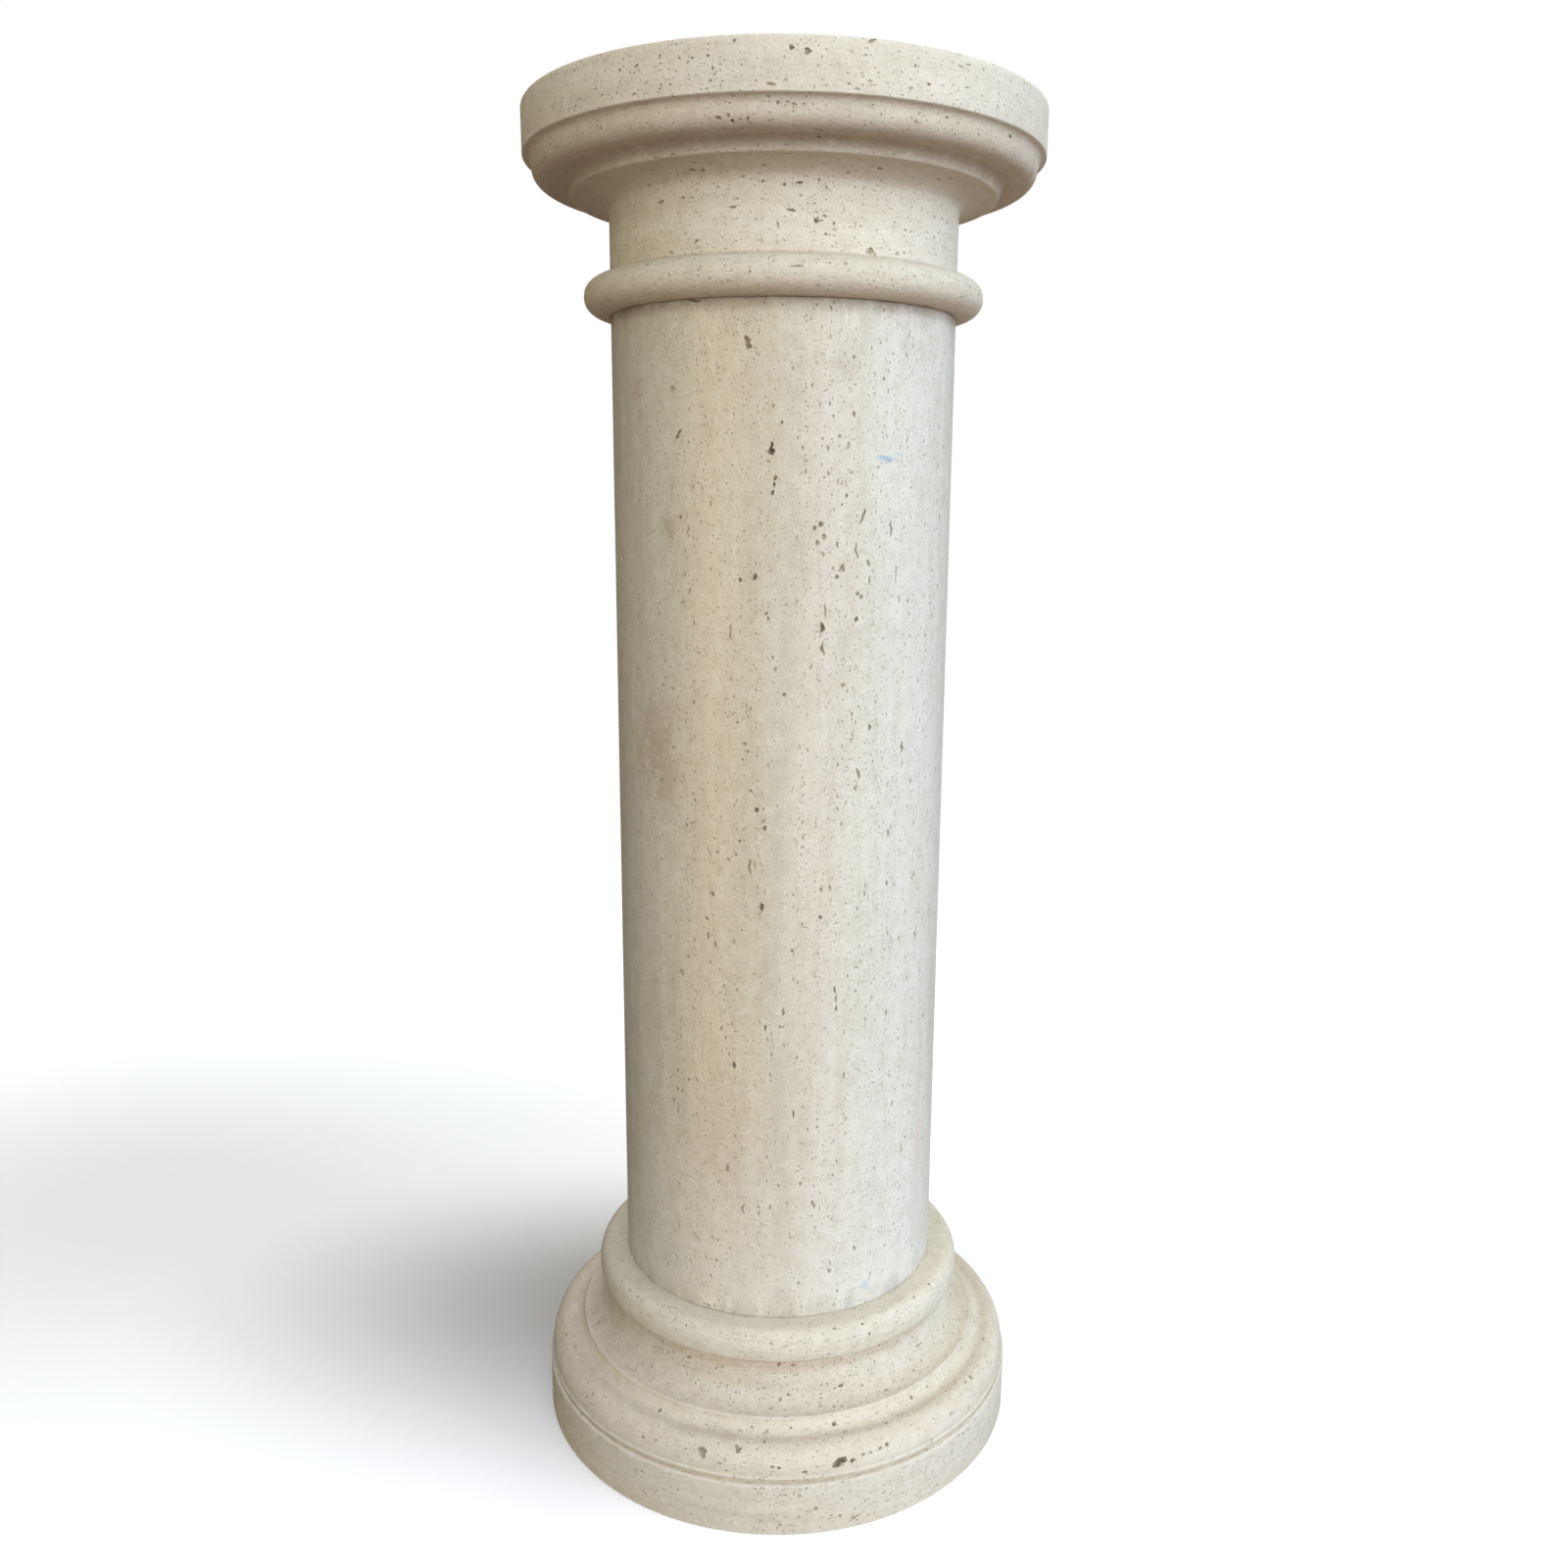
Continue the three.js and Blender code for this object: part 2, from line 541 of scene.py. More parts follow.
# One crumbled lump, which stands on a surface and reaches down into it
def crumbledLump(spot, outwards, across, tall, deep, lean, seed):
    lump = bmesh.new()
    finer = max(across, tall) > pickedLump["finerOver"]
    bmesh.ops.create_icosphere(lump, subdivisions=3 if finer else 2, radius=0.5)
    upright = tall > across
    slimness = tall / across if upright else across / tall
    winding = min(pickedLump["wanderPush"] * (slimness - 1), pickedLump["wanderMost"])
    coarseStart = Vector((seed * 7.3, 1.7, 0))
    fineStart = Vector((0, seed * 5.9, 2.3))
    wanderStart = Vector((0, seed * 3.7, 0.4))
    for corner in lump.verts:
        coarse = noise.noise(corner.co * pickedLump["coarseScale"] + coarseStart)
        fine = noise.noise(corner.co * pickedLump["fineScale"] + fineStart)
        along = corner.co.y if upright else corner.co.x
        wander = noise.noise(Vector((along * pickedLump["wanderScale"], 0, 0)) + wanderStart) * winding
        corner.co *= 1 + pickedLump["coarsePush"] * coarse + pickedLump["finePush"] * fine
        corner.co += Vector((wander, 0, 0)) if upright else Vector((0, wander, 0))
    upwards = Vector((0, 0, 1))
    sideways = upwards.cross(outwards).normalized()
    upwards = outwards.cross(sideways)
    facing = Matrix((sideways, upwards, outwards)).transposed().to_4x4()
    wider, taller, deeper = pickedLump["stretch"]
    size = Matrix.Diagonal((wider * across * mm, taller * tall * mm, deep * deeper * mm, 1))
    centre = Matrix.Translation(spot)
    lump.transform(centre @ facing @ Matrix.Rotation(math.radians(lean), 4, "Z") @ size)
    return lump


# Whether two picked voids keep clear of each other, each as crumbledLump takes it
def areClear(one, other):
    reach = max(one[2], one[3]) * mm
    return (one[0] - other[0]).length > pickedLump["clearance"] * (reach + max(other[2], other[3]) * mm)


# Cuts the voids that were picked in the photo, in rounds whose lumps keep clear of each other
def carveSeenVoids(stone, seen, finish):
    graph = bpy.context.evaluated_depsgraph_get()
    surface = BVHTree.FromObject(stone, graph)
    waiting = []
    for seed, (across, down, wide, tall, deep, lean) in enumerate(seen.values()):
        spot, outwards, _, _ = surface.ray_cast(*rayThrough(across, down))
        if spot is None:
            print("a void misses", stone.name, across, down)
            continue
        waiting.append((spot, outwards, wide, tall, deep, lean, seed))
    while waiting:
        apart, later = [], []
        for item in waiting:
            clear = all(areClear(item, other) for other in apart)
            (apart if clear else later).append(item)
        together = bmesh.new()
        for item in apart:
            lump = crumbledLump(*item)
            part = bpy.data.meshes.new("part")
            lump.to_mesh(part)
            lump.free()
            together.from_mesh(part)
            bpy.data.meshes.remove(part)
        cutter = bpy.data.meshes.new("seenVoids")
        together.to_mesh(cutter)
        together.free()
        cutter.materials.append(finish)
        carve(stone, cutter)
        waiting = later


# Traces that the profile leaves on the surface

# How the traces are read off the profile, in millimetres and in turn per millimetre
traces = {
    "longestStep": 0.4,
    "samePoint": 1e-6,
    "bendWidth": 1.1,
    "voidDepth": 1.5,
    "seamReach": 0.9,
    "wornFrom": 0.1,
    "wornRange": 0.35,
    "dustAndShadeFrom": 0.15,
    "dustAndShadeRange": 0.25,
}


# For points along a profile: outward direction, how sharply it turns, and a search tree
def profileTraces(profile):
    points = np.array([point for point in withFillIn(profile, traces["longestStep"]) if point[0] > 0])
    apart = np.linalg.norm(np.diff(points, axis=0), axis=1)
    points = points[np.concatenate([[True], apart > traces["samePoint"]])]
    steps = np.diff(points, axis=0)
    lengths = np.linalg.norm(steps, axis=1)
    along = np.concatenate([[0], np.cumsum(lengths)])
    heading = np.unwrap(np.arctan2(steps[:, 1], steps[:, 0]))
    turn = np.diff(heading)
    places = along[1:-1]
    bend = np.zeros(len(points))
    width = traces["bendWidth"]
    for index, here in enumerate(along):
        weight = np.exp(-0.5 * ((places - here) / width) ** 2)
        bend[index] = (weight * turn).sum() / (width * math.sqrt(2 * math.pi))
    outwards = np.stack([steps[:, 1], -steps[:, 0]], 1) / lengths[:, None]
    outwards = np.concatenate([outwards, outwards[-1:]])
    search = kdtree.KDTree(len(points))
    for index, (radius, height) in enumerate(points):
        search.insert((radius, 0, height), index)
    search.balance()
    return points, outwards, bend, search


# Writes how deep each vertex lies in a void, how worn its place on the profile is, and how much dust and
# painted shade it takes: dust at the joints, dust with painted shade where the profile turns inwards
def markTraces(stone, profile):
    points, outwards, bend, search = profileTraces(profile)
    corners = np.empty(len(stone.data.vertices) * 3)
    stone.data.vertices.foreach_get("co", corners)
    corners = corners.reshape(-1, 3) / mm
    radii = np.hypot(corners[:, 0], corners[:, 1])
    depth, worn, dustAndShade = (np.zeros(len(radii), np.float32) for _ in range(3))
    for index, (radius, height) in enumerate(zip(radii, corners[:, 2])):
        _, near, _ = search.find((radius, 0, height))
        offset = points[near] - (radius, height)
        depth[index] = max(0.0, float(offset @ outwards[near]) - turning["unevenness"])
        worn[index] = bend[near]
        dustAndShade[index] = -bend[near]
    joints = (baseHeight, capitalUnderside)
    apart = np.min([np.hypot(corners[:, 2] - joint, radii - shaftRadius) for joint in joints], axis=0)
    seam = np.exp(-apart / traces["seamReach"])
    for name, values in {
        "voidDepth": 1 - np.exp(-depth / traces["voidDepth"]),
        "worn": (worn - traces["wornFrom"]) / traces["wornRange"],
        # dust at the joints, and dust with painted shade where the profile turns inwards
        "dustAndShade": np.maximum((dustAndShade - traces["dustAndShadeFrom"]) / traces["dustAndShadeRange"], seam),
    }.items():
        attribute = stone.data.attributes.new(name, "FLOAT", "POINT")
        attribute.data.foreach_set("value", np.clip(values, 0, 1).astype(np.float32))


# Keeps edges sharper than the limit crisp while the rest shades smoothly
def finishShading(stone, sharpest):
    mesh = bmesh.new()
    mesh.from_mesh(stone.data)
    bmesh.ops.triangulate(mesh, faces=mesh.faces)
    limit = math.radians(sharpest)
    for edge in mesh.edges:
        edge.smooth = edge.is_manifold and edge.calc_face_angle(0) < limit
    for face in mesh.faces:
        face.smooth = True
    mesh.to_mesh(stone.data)
    mesh.free()


# Finishes: shader groups that every stone shares

def paint(red, green, blue):
    return tuple((level / 255) ** 2.2 for level in (red, green, blue)) + (1.0,)


# Soft streaks that follow the bedding
def beddingStreaksGroup():
    tree, given, result = newTree("beddingStreaks", "ShaderNodeTree", [
        ("Vector", "Vector", None),
        ("Stretch", "Vector", (90.0, 90.0, 7.0)),
        ("Waviness", "Float", 0.004),
    ], [("Broad", "Float"), ("Fine", "Float")])
    wave = scaled(tree, centredNoise(tree, given["Vector"], 16.0, 2.0), given["Waviness"])
    waved = vectorMath(tree, "ADD", given["Vector"], wave)
    stretched = vectorMath(tree, "MULTIPLY", waved, given["Stretch"])
    broad = addNode(tree, "ShaderNodeTexNoise", {"Vector": stretched, "Scale": 1.0, "Detail": 3.0})
    fine = addNode(tree, "ShaderNodeTexNoise", {"Vector": stretched, "Scale": 4.5, "Detail": 4.0})
    tree.links.new(broad.outputs[0], result["Broad"])
    tree.links.new(fine.outputs[0], result["Fine"])
    return tree


# Blotches with soft edges
def cloudsGroup():
    tree, given, result = newTree("clouds", "ShaderNodeTree", [
        ("Vector", "Vector", None),
        ("Stretch", "Vector", (20.0, 20.0, 20.0)),
        ("Starts", "Float", 0.5),
        ("Full", "Float", 0.7),
    ], [("Mask", "Float")])
    stretched = vectorMath(tree, "MULTIPLY", given["Vector"], given["Stretch"])
    cloud = addNode(tree, "ShaderNodeTexNoise", {
        "Vector": stretched,
        "Scale": 1.0,
        "Detail": 5.0,
        "Roughness": 0.55,
        "Distortion": 0.4,
    })
    mask = remap(tree, cloud.outputs[0], given["Starts"], given["Full"])
    tree.links.new(mask, result["Mask"])
    return tree


# Pinholes that are too small for the mesh. A share of the cells has one each.
def pinholesGroup():
    tree, given, result = newTree("pinholes", "ShaderNodeTree", [
        ("Vector", "Vector", None),
        ("Stretch", "Vector", (700.0, 700.0, 420.0)),
        ("Share", "Float", 0.3),
        ("Largest", "Float", 0.36),
        ("Ragged", "Float", 0.3),
    ], [("Mask", "Float")])
    stretched = vectorMath(tree, "MULTIPLY", given["Vector"], given["Stretch"])
    wobble = scaled(tree, centredNoise(tree, stretched, 2.3, 2.0), given["Ragged"])
    stretched = vectorMath(tree, "ADD", stretched, wobble)
    cells = addNode(tree, "ShaderNodeTexVoronoi", {"Vector": stretched, "Scale": 1.0}, feature="F1")
    draws = addNode(tree, "ShaderNodeSeparateColor", {"Color": cells.outputs["Color"]})
    present = calculate(tree, "LESS_THAN", draws.outputs[0], given["Share"])
    radius = calculate(tree, "MULTIPLY", remap(tree, draws.outputs[1], 0.0, 1.0, 0.35, 1.0), given["Largest"])
    inside = calculate(tree, "SUBTRACT", 1.0, calculate(tree, "DIVIDE", cells.outputs["Distance"], radius))
    mask = calculate(tree, "MULTIPLY", remap(tree, inside, 0.0, 0.75), present)
    tree.links.new(mask, result["Mask"])
    return tree


# The honed face's fine grain, as a tone round zero and a height
def honedGrainGroup():
    tree, given, result = newTree("honedGrain", "ShaderNodeTree", [
        ("Vector", "Vector", None),
        ("Size", "Float", 0.0012),
    ], [("Tone", "Float"), ("Height", "Float")])
    scale = calculate(tree, "DIVIDE", 1.0, given["Size"])
    grain = addNode(tree, "ShaderNodeTexNoise", {"Vector": given["Vector"], "Scale": scale, "Detail": 3.0})
    wide = addNode(tree, "ShaderNodeTexNoise", {
        "Vector": given["Vector"],
        "Scale": calculate(tree, "MULTIPLY", scale, 0.22),
        "Detail": 2.0,
    })
    tone = calculate(tree, "ADD", calculate(tree, "SUBTRACT", grain.outputs[0], 0.5),
                     calculate(tree, "SUBTRACT", wide.outputs[0], 0.5))
    tree.links.new(tone, result["Tone"])
    tree.links.new(grain.outputs[0], result["Height"])
    return tree


# A ragged stain round one spot on the stone
def localStainGroup():
    tree, given, result = newTree("localStain", "ShaderNodeTree", [
        ("Vector", "Vector", None),
        ("Centre", "Vector", (0.0, 0.0, 0.0)),
        ("Reach", "Vector", (0.02, 0.02, 0.02)),
        ("Ragged", "Float", 0.5),
        ("Core", "Float", 0.3),
    ], [("Mask", "Float")])
    away = vectorMath(tree, "SUBTRACT", given["Vector"], given["Centre"])
    away = vectorMath(tree, "DIVIDE", away, given["Reach"])
    edge = addNode(tree, "ShaderNodeTexNoise", {
        "Vector": away,
        "Scale": 2.4,
        "Detail": 5.0,
        "Roughness": 0.65,
    })
    ragged = calculate(tree, "SUBTRACT", edge.outputs[0], 0.5)
    ragged = calculate(tree, "MULTIPLY", ragged, given["Ragged"])
    ragged = calculate(tree, "MULTIPLY", ragged, 2.0)
    distance = calculate(tree, "ADD", vectorMath(tree, "LENGTH", away), ragged)
    fade = addNode(tree, "ShaderNodeMapRange", {
        "Value": distance,
        "From Min": given["Core"],
        "From Max": 1.0,
        "To Min": 1.0,
        "To Max": 0.0,
    }, interpolation_type="SMOOTHSTEP")
    tree.links.new(fade.outputs["Result"], result["Mask"])
    return tree


# Breaks up the worn marks and the dust and painted shade, so that they come and go round the ring
def edgeTracesGroup():
    tree, given, result = newTree("edgeTraces", "ShaderNodeTree", [
        ("Vector", "Vector", None),
        ("Worn", "Float", 0.0),
        ("Dust And Shade", "Float", 0.0),
    ], [("Bare", "Float"), ("Settled And Shaded", "Float")])
    patches = addNode(tree, "ShaderNodeTexNoise", {"Vector": given["Vector"], "Scale": 55.0, "Detail": 4.0})
    patchy = patches.outputs[0]
    bare = calculate(tree, "MULTIPLY", given["Worn"], remap(tree, patchy, 0.3, 0.62))
    settledAndShaded = calculate(tree, "MULTIPLY", given["Dust And Shade"], remap(tree, patchy, 0.65, 0.45, 0.5, 1.0))
    tree.links.new(bare, result["Bare"])
    tree.links.new(settledAndShaded, result["Settled And Shaded"])
    return tree


groups = {
    "streaks": beddingStreaksGroup(),
    "clouds": cloudsGroup(),
    "pinholes": pinholesGroup(),
    "grain": honedGrainGroup(),
    "stain": localStainGroup(),
    "edges": edgeTracesGroup(),
}


def placeGroup(tree, name, inputs):
    return addNode(tree, "ShaderNodeGroup", inputs, node_tree=groups[name]).outputs


# Lays a colour over another as far as a mask says
def tint(tree, below, colour, mask, amount=1.0, blend="MIX"):
    factor = mask if amount == 1.0 else calculate(tree, "MULTIPLY", mask, amount)
    layers = {0: factor, 6: below, 7: colour}
    return addNode(tree, "ShaderNodeMix", layers, data_type="RGBA", blend_type=blend).outputs[2]


# The travertine of one stone. Its finish says how the bands and streaks lie and what colour each mark
# has, and its stains say where they are.
def travertine(name, finish, stains):
    material = bpy.data.materials.new(name)
    material.use_nodes = True
    tree = material.node_tree
    tree.nodes.clear()
    place = addNode(tree, "ShaderNodeTexCoord").outputs["Object"]

    # Lays one of the finish's colours over what is there
    def coated(below, shade, mask, amount):
        return tint(tree, below, paint(*finish[shade]), mask, finish[amount])

    # Bands: a ramp across the bedding, bent by a slow noise
    stretched = vectorMath(tree, "MULTIPLY", place, finish["bendStretch"])
    slow = addNode(tree, "ShaderNodeTexNoise", {"Vector": stretched, "Scale": 1.0, "Detail": 3.0})
    bend = calculate(tree, "SUBTRACT", slow.outputs[0], 0.5)
    across = vectorMath(tree, "DOT_PRODUCT", place, finish["bedding"])
    across = calculate(tree, "ADD", across, finish["bandShift"])
    across = calculate(tree, "ADD", across, calculate(tree, "MULTIPLY", bend, finish["bend"]))
    ramp = addNode(tree, "ShaderNodeValToRGB", {"Fac": across})
    stops = ramp.color_ramp.elements
    while len(stops) < len(finish["bands"]):
        stops.new(0.5)
    for stop, (position, colour) in zip(stops, finish["bands"]):
        stop.position = position
        stop.color = paint(*colour)
    colour = ramp.outputs["Color"]

    # Streaks, clouds and grain
    streaks = placeGroup(tree, "streaks", {
        "Vector": place,
        "Stretch": finish["streakStretch"],
        "Waviness": finish["waviness"],
    })
    darker = remap(tree, streaks["Broad"], finish["streakMiddle"], finish["streakDarkest"])
    lighter = remap(tree, streaks["Broad"], finish["streakMiddle"], finish["streakLightest"])
    colour = coated(colour, "streakDark", darker, "streakAmount")
    colour = coated(colour, "streakLight", lighter, "streakAmount")
    fineLines = remap(tree, streaks["Fine"], finish["fineStarts"], finish["fineFull"])
    colour = coated(colour, "fineDark", fineLines, "fineAmount")
    cloud = placeGroup(tree, "clouds", {
        "Vector": place,
        "Stretch": finish["cloudStretch"],
        "Starts": finish["cloudStarts"],
        "Full": finish["cloudFull"],
    })
    colour = coated(colour, "cloudColour", cloud["Mask"], "cloudAmount")
    for stain in stains:
        patch = placeGroup(tree, "stain", {
            "Vector": place,
            "Centre": stain["centre"],
            "Reach": stain["reach"],
            "Ragged": stain["ragged"],
            "Core": stain["core"],
        })
        colour = tint(tree, colour, paint(*stain["colour"]), patch["Mask"], stain["amount"])
    grain = placeGroup(tree, "grain", {"Vector": place, "Size": finish["grainSize"]})
    starts, full = finish["grainTones"]
    colour = coated(colour, "grainLight", remap(tree, grain["Tone"], starts, full), "grainAmount")
    colour = coated(colour, "grainDark", remap(tree, grain["Tone"], -starts, -full), "grainAmount")

    # Pinholes everywhere, and wider pecks that keep to the trails
    trail = placeGroup(tree, "clouds", {
        "Vector": place,
        "Stretch": finish["trailStretch"],
        "Starts": finish["trailStarts"],
        "Full": finish["trailFull"],
    })
    pinholes, pecks = (placeGroup(tree, "pinholes", {
        "Vector": place,
        "Stretch": finish[kind + "Stretch"],
        "Share": finish[kind + "Share"],
        "Largest": finish[kind + "Largest"],
        "Ragged": finish[kind + "Ragged"],
    })["Mask"] for kind in ("pinhole", "peck"))
    keptTo = remap(tree, trail["Mask"], 0.0, 1.0, finish["peckOffTrail"], 1.0)
    onTrail = calculate(tree, "MULTIPLY", pecks, keptTo)
    faint = calculate(tree, "MULTIPLY", pinholes, finish["pinholeDepth"])
    holes = calculate(tree, "MAXIMUM", faint, onTrail)
    # Painted shade inside the pinholes and pecks, which are only bumps and cast no shadow of their own
    colour = coated(colour, "holeShadeColour", holes, "holeShadeAmount")

    # Wear on the arrises, dust at the joints, dust with painted shade in the quirks, and dirt with painted
    # shade down in the voids
    worn = addNode(tree, "ShaderNodeAttribute", attribute_name="worn").outputs["Fac"]
    dustAndShade = addNode(tree, "ShaderNodeAttribute", attribute_name="dustAndShade").outputs["Fac"]
    depth = addNode(tree, "ShaderNodeAttribute", attribute_name="voidDepth").outputs["Fac"]
    edges = placeGroup(tree, "edges", {"Vector": place, "Worn": worn, "Dust And Shade": dustAndShade})
    colour = coated(colour, "wornColour", edges["Bare"], "wornAmount")
    # Dust at the joints, and painted shade with dust in the quirks of the mouldings
    colour = coated(colour, "dustAndShadeColour", edges["Settled And Shaded"], "dustAndShadeAmount")
    # Darker with depth in the voids: dirt, and painted shade in place of the voids' own shadow
    colour = coated(colour, "voidDirtAndShadeColour", calculate(tree, "POWER", depth, finish["voidFade"]), "voidDirtAndShadeAmount")

    # Roughness and relief
    grainy = calculate(tree, "MULTIPLY", grain["Tone"], finish["grainRoughness"])
    dull = calculate(tree, "MULTIPLY", edges["Settled And Shaded"], finish["dustRoughness"])
    roughness = calculate(tree, "ADD", calculate(tree, "ADD", finish["roughness"], grainy), dull)
    height = calculate(tree, "MULTIPLY", grain["Height"], finish["grainRelief"])
    ribbed = calculate(tree, "MULTIPLY", streaks["Fine"], finish["streakRelief"])
    pitted = calculate(tree, "MULTIPLY", holes, finish["holeRelief"])
    height = calculate(tree, "SUBTRACT", calculate(tree, "ADD", height, ribbed), pitted)
    relief = addNode(tree, "ShaderNodeBump", {
        "Height": height,
        "Distance": finish["reliefDepth"],
        "Strength": finish["reliefStrength"],
    })
    stone = addNode(tree, "ShaderNodeBsdfPrincipled", {
        "Base Color": colour,
        "Roughness": roughness,
        "Specular IOR Level": finish["specular"],
        "Normal": relief.outputs["Normal"],
    })
    output = addNode(tree, "ShaderNodeOutputMaterial")
    tree.links.new(stone.outputs["BSDF"], output.inputs["Surface"])
    return material


# A stain, with its centre and reach in metres
def stainOf(centre, reach, colour, amount, ragged, core):
    return {
        "centre": centre,
        "reach": reach,
        "colour": colour,
        "amount": amount,
        "ragged": ragged,
        "core": core,
    }


# A stain at a place in the photo, with its reach in millimetres
def stainAt(stone, pixel, reach, colour, amount, ragged=0.6, core=0.2):
    surface = BVHTree.FromObject(stone, bpy.context.evaluated_depsgraph_get())
    spot, _, _, _ = surface.ray_cast(*rayThrough(*pixel))
    return stainOf(tuple(spot), tuple(size * mm for size in reach), colour, amount, ragged, core)


# A stain that runs all the way round at one height, in millimetres
def stainRound(height, reach, colour, amount, ragged=0.4, core=0.2):
    return stainOf((0, 0, height * mm), (1, 1, reach * mm), colour, amount, ragged, core)


# What the three stones share
stoneFinish = {
    "waviness": 0.012,
    "streakDark": (196, 182, 158),
    "streakLight": (232, 226, 212),
    "streakAmount": 0.25,
    "streakMiddle": 0.5,  # where in the noise the streaks are, and the fine lines below
    "streakDarkest": 0.72,
    "streakLightest": 0.3,
    "fineDark": (184, 168, 144),
    "fineAmount": 0.25,
    "fineStarts": 0.56,
    "fineFull": 0.74,
    "cloudColour": (196, 186, 168),
    "cloudAmount": 0.25,
    "cloudStarts": 0.5,
    "cloudFull": 0.72,
    "grainSize": 0.0019,
    "grainLight": (242, 238, 228),
    "grainDark": (184, 169, 146),
    "grainAmount": 0.26,
    "grainTones": (0.02, 0.3),
    "trailStarts": 0.44,
    "trailFull": 0.6,
    "pinholeShare": 0.32,
    "pinholeLargest": 0.36,  # against the size of a cell
    "pinholeRagged": 0.4,
    "pinholeDepth": 0.6,  # against a peck's
    "peckShare": 0.26,
    "peckLargest": 0.33,
    "peckRagged": 0.9,
    "peckOffTrail": 0.12,
    # painted shade inside the pinholes and pecks
    "holeShadeColour": (126, 106, 80),
    "holeShadeAmount": 0.28,
    "wornColour": (238, 231, 216),
    "wornAmount": 0.45,
    # dust at the joints, and painted shade with dust in the quirks
    "dustAndShadeColour": (150, 130, 104),
    "dustAndShadeAmount": 0.5,
    # dirt and painted shade down in the voids
    "voidDirtAndShadeColour": (98, 80, 58),
    "voidDirtAndShadeAmount": 0.56,
    "voidFade": 1.9,
    "roughness": 0.66,
    "grainRoughness": 0.12,
    "dustRoughness": 0.15,
    "specular": 0.3,
    "reliefDepth": 0.001,
    "reliefStrength": 1.0,
    "grainRelief": 0.5,
    "streakRelief": 0.06,
    "holeRelief": 1.6,
}

# The shaft was cut with its bedding upright, so its bands run from foot to neck
shaftFinish = {
    **stoneFinish,
    "dustAndShadeColour": (84, 68, 50),
    "dustAndShadeAmount": 0.95,
    "bedding": (3.9, 0.7, 0.0),
    "bandShift": 0.5,
    "bend": 0.16,
    "bendStretch": (14.0, 14.0, 3.0),
    "bands": [
        (0.02, (208, 202, 188)),
        (0.12, (217, 208, 188)),
        (0.22, (228, 213, 186)),
        (0.3, (218, 204, 178)),
        (0.42, (211, 201, 180)),
        (0.52, (222, 212, 195)),
        (0.66, (221, 216, 199)),
        (0.76, (226, 219, 208)),
        (0.86, (226, 220, 208)),
        (0.97, (214, 206, 195)),
    ],
    "streakStretch": (85.0, 85.0, 5.0),
    "cloudStretch": (22.0, 22.0, 10.0),
    "pinholeStretch": (620.0, 620.0, 420.0),
    "peckStretch": (330.0, 330.0, 190.0),
    "trailStretch": (60.0, 60.0, 9.0),
}

# Base and capital have their bedding level, so their streaks run round
capitalFinish = {
    **stoneFinish,
    "dustAndShadeAmount": 0.85,
    "bedding": (0.2, 0.1, 6.8),
    "bandShift": -5.85,
    "bend": 0.25,
    "bendStretch": (6.0, 6.0, 30.0),
    "bands": [
        (0.0, (224, 212, 190)),
        (0.25, (226, 216, 198)),
        (0.5, (222, 212, 192)),
        (0.62, (214, 202, 182)),
        (0.8, (226, 217, 198)),
        (1.0, (224, 214, 194)),
    ],
    "streakStretch": (7.0, 7.0, 120.0),
    "cloudStretch": (9.0, 9.0, 34.0),
    "pinholeStretch": (420.0, 420.0, 620.0),
    "peckStretch": (190.0, 190.0, 330.0),
    "trailStretch": (14.0, 14.0, 90.0),
}

baseFinish = {
    **capitalFinish,
    "dustAndShadeAmount": 0.35,
    "bandShift": 0.05,
    "bands": [
        (0.0, (222, 212, 192)),
        (0.3, (228, 220, 204)),
        (0.45, (222, 210, 190)),
        (0.6, (216, 204, 184)),
        (0.8, (228, 220, 202)),
        (1.0, (224, 214, 194)),
    ],
    "pinholeShare": 0.3,
}

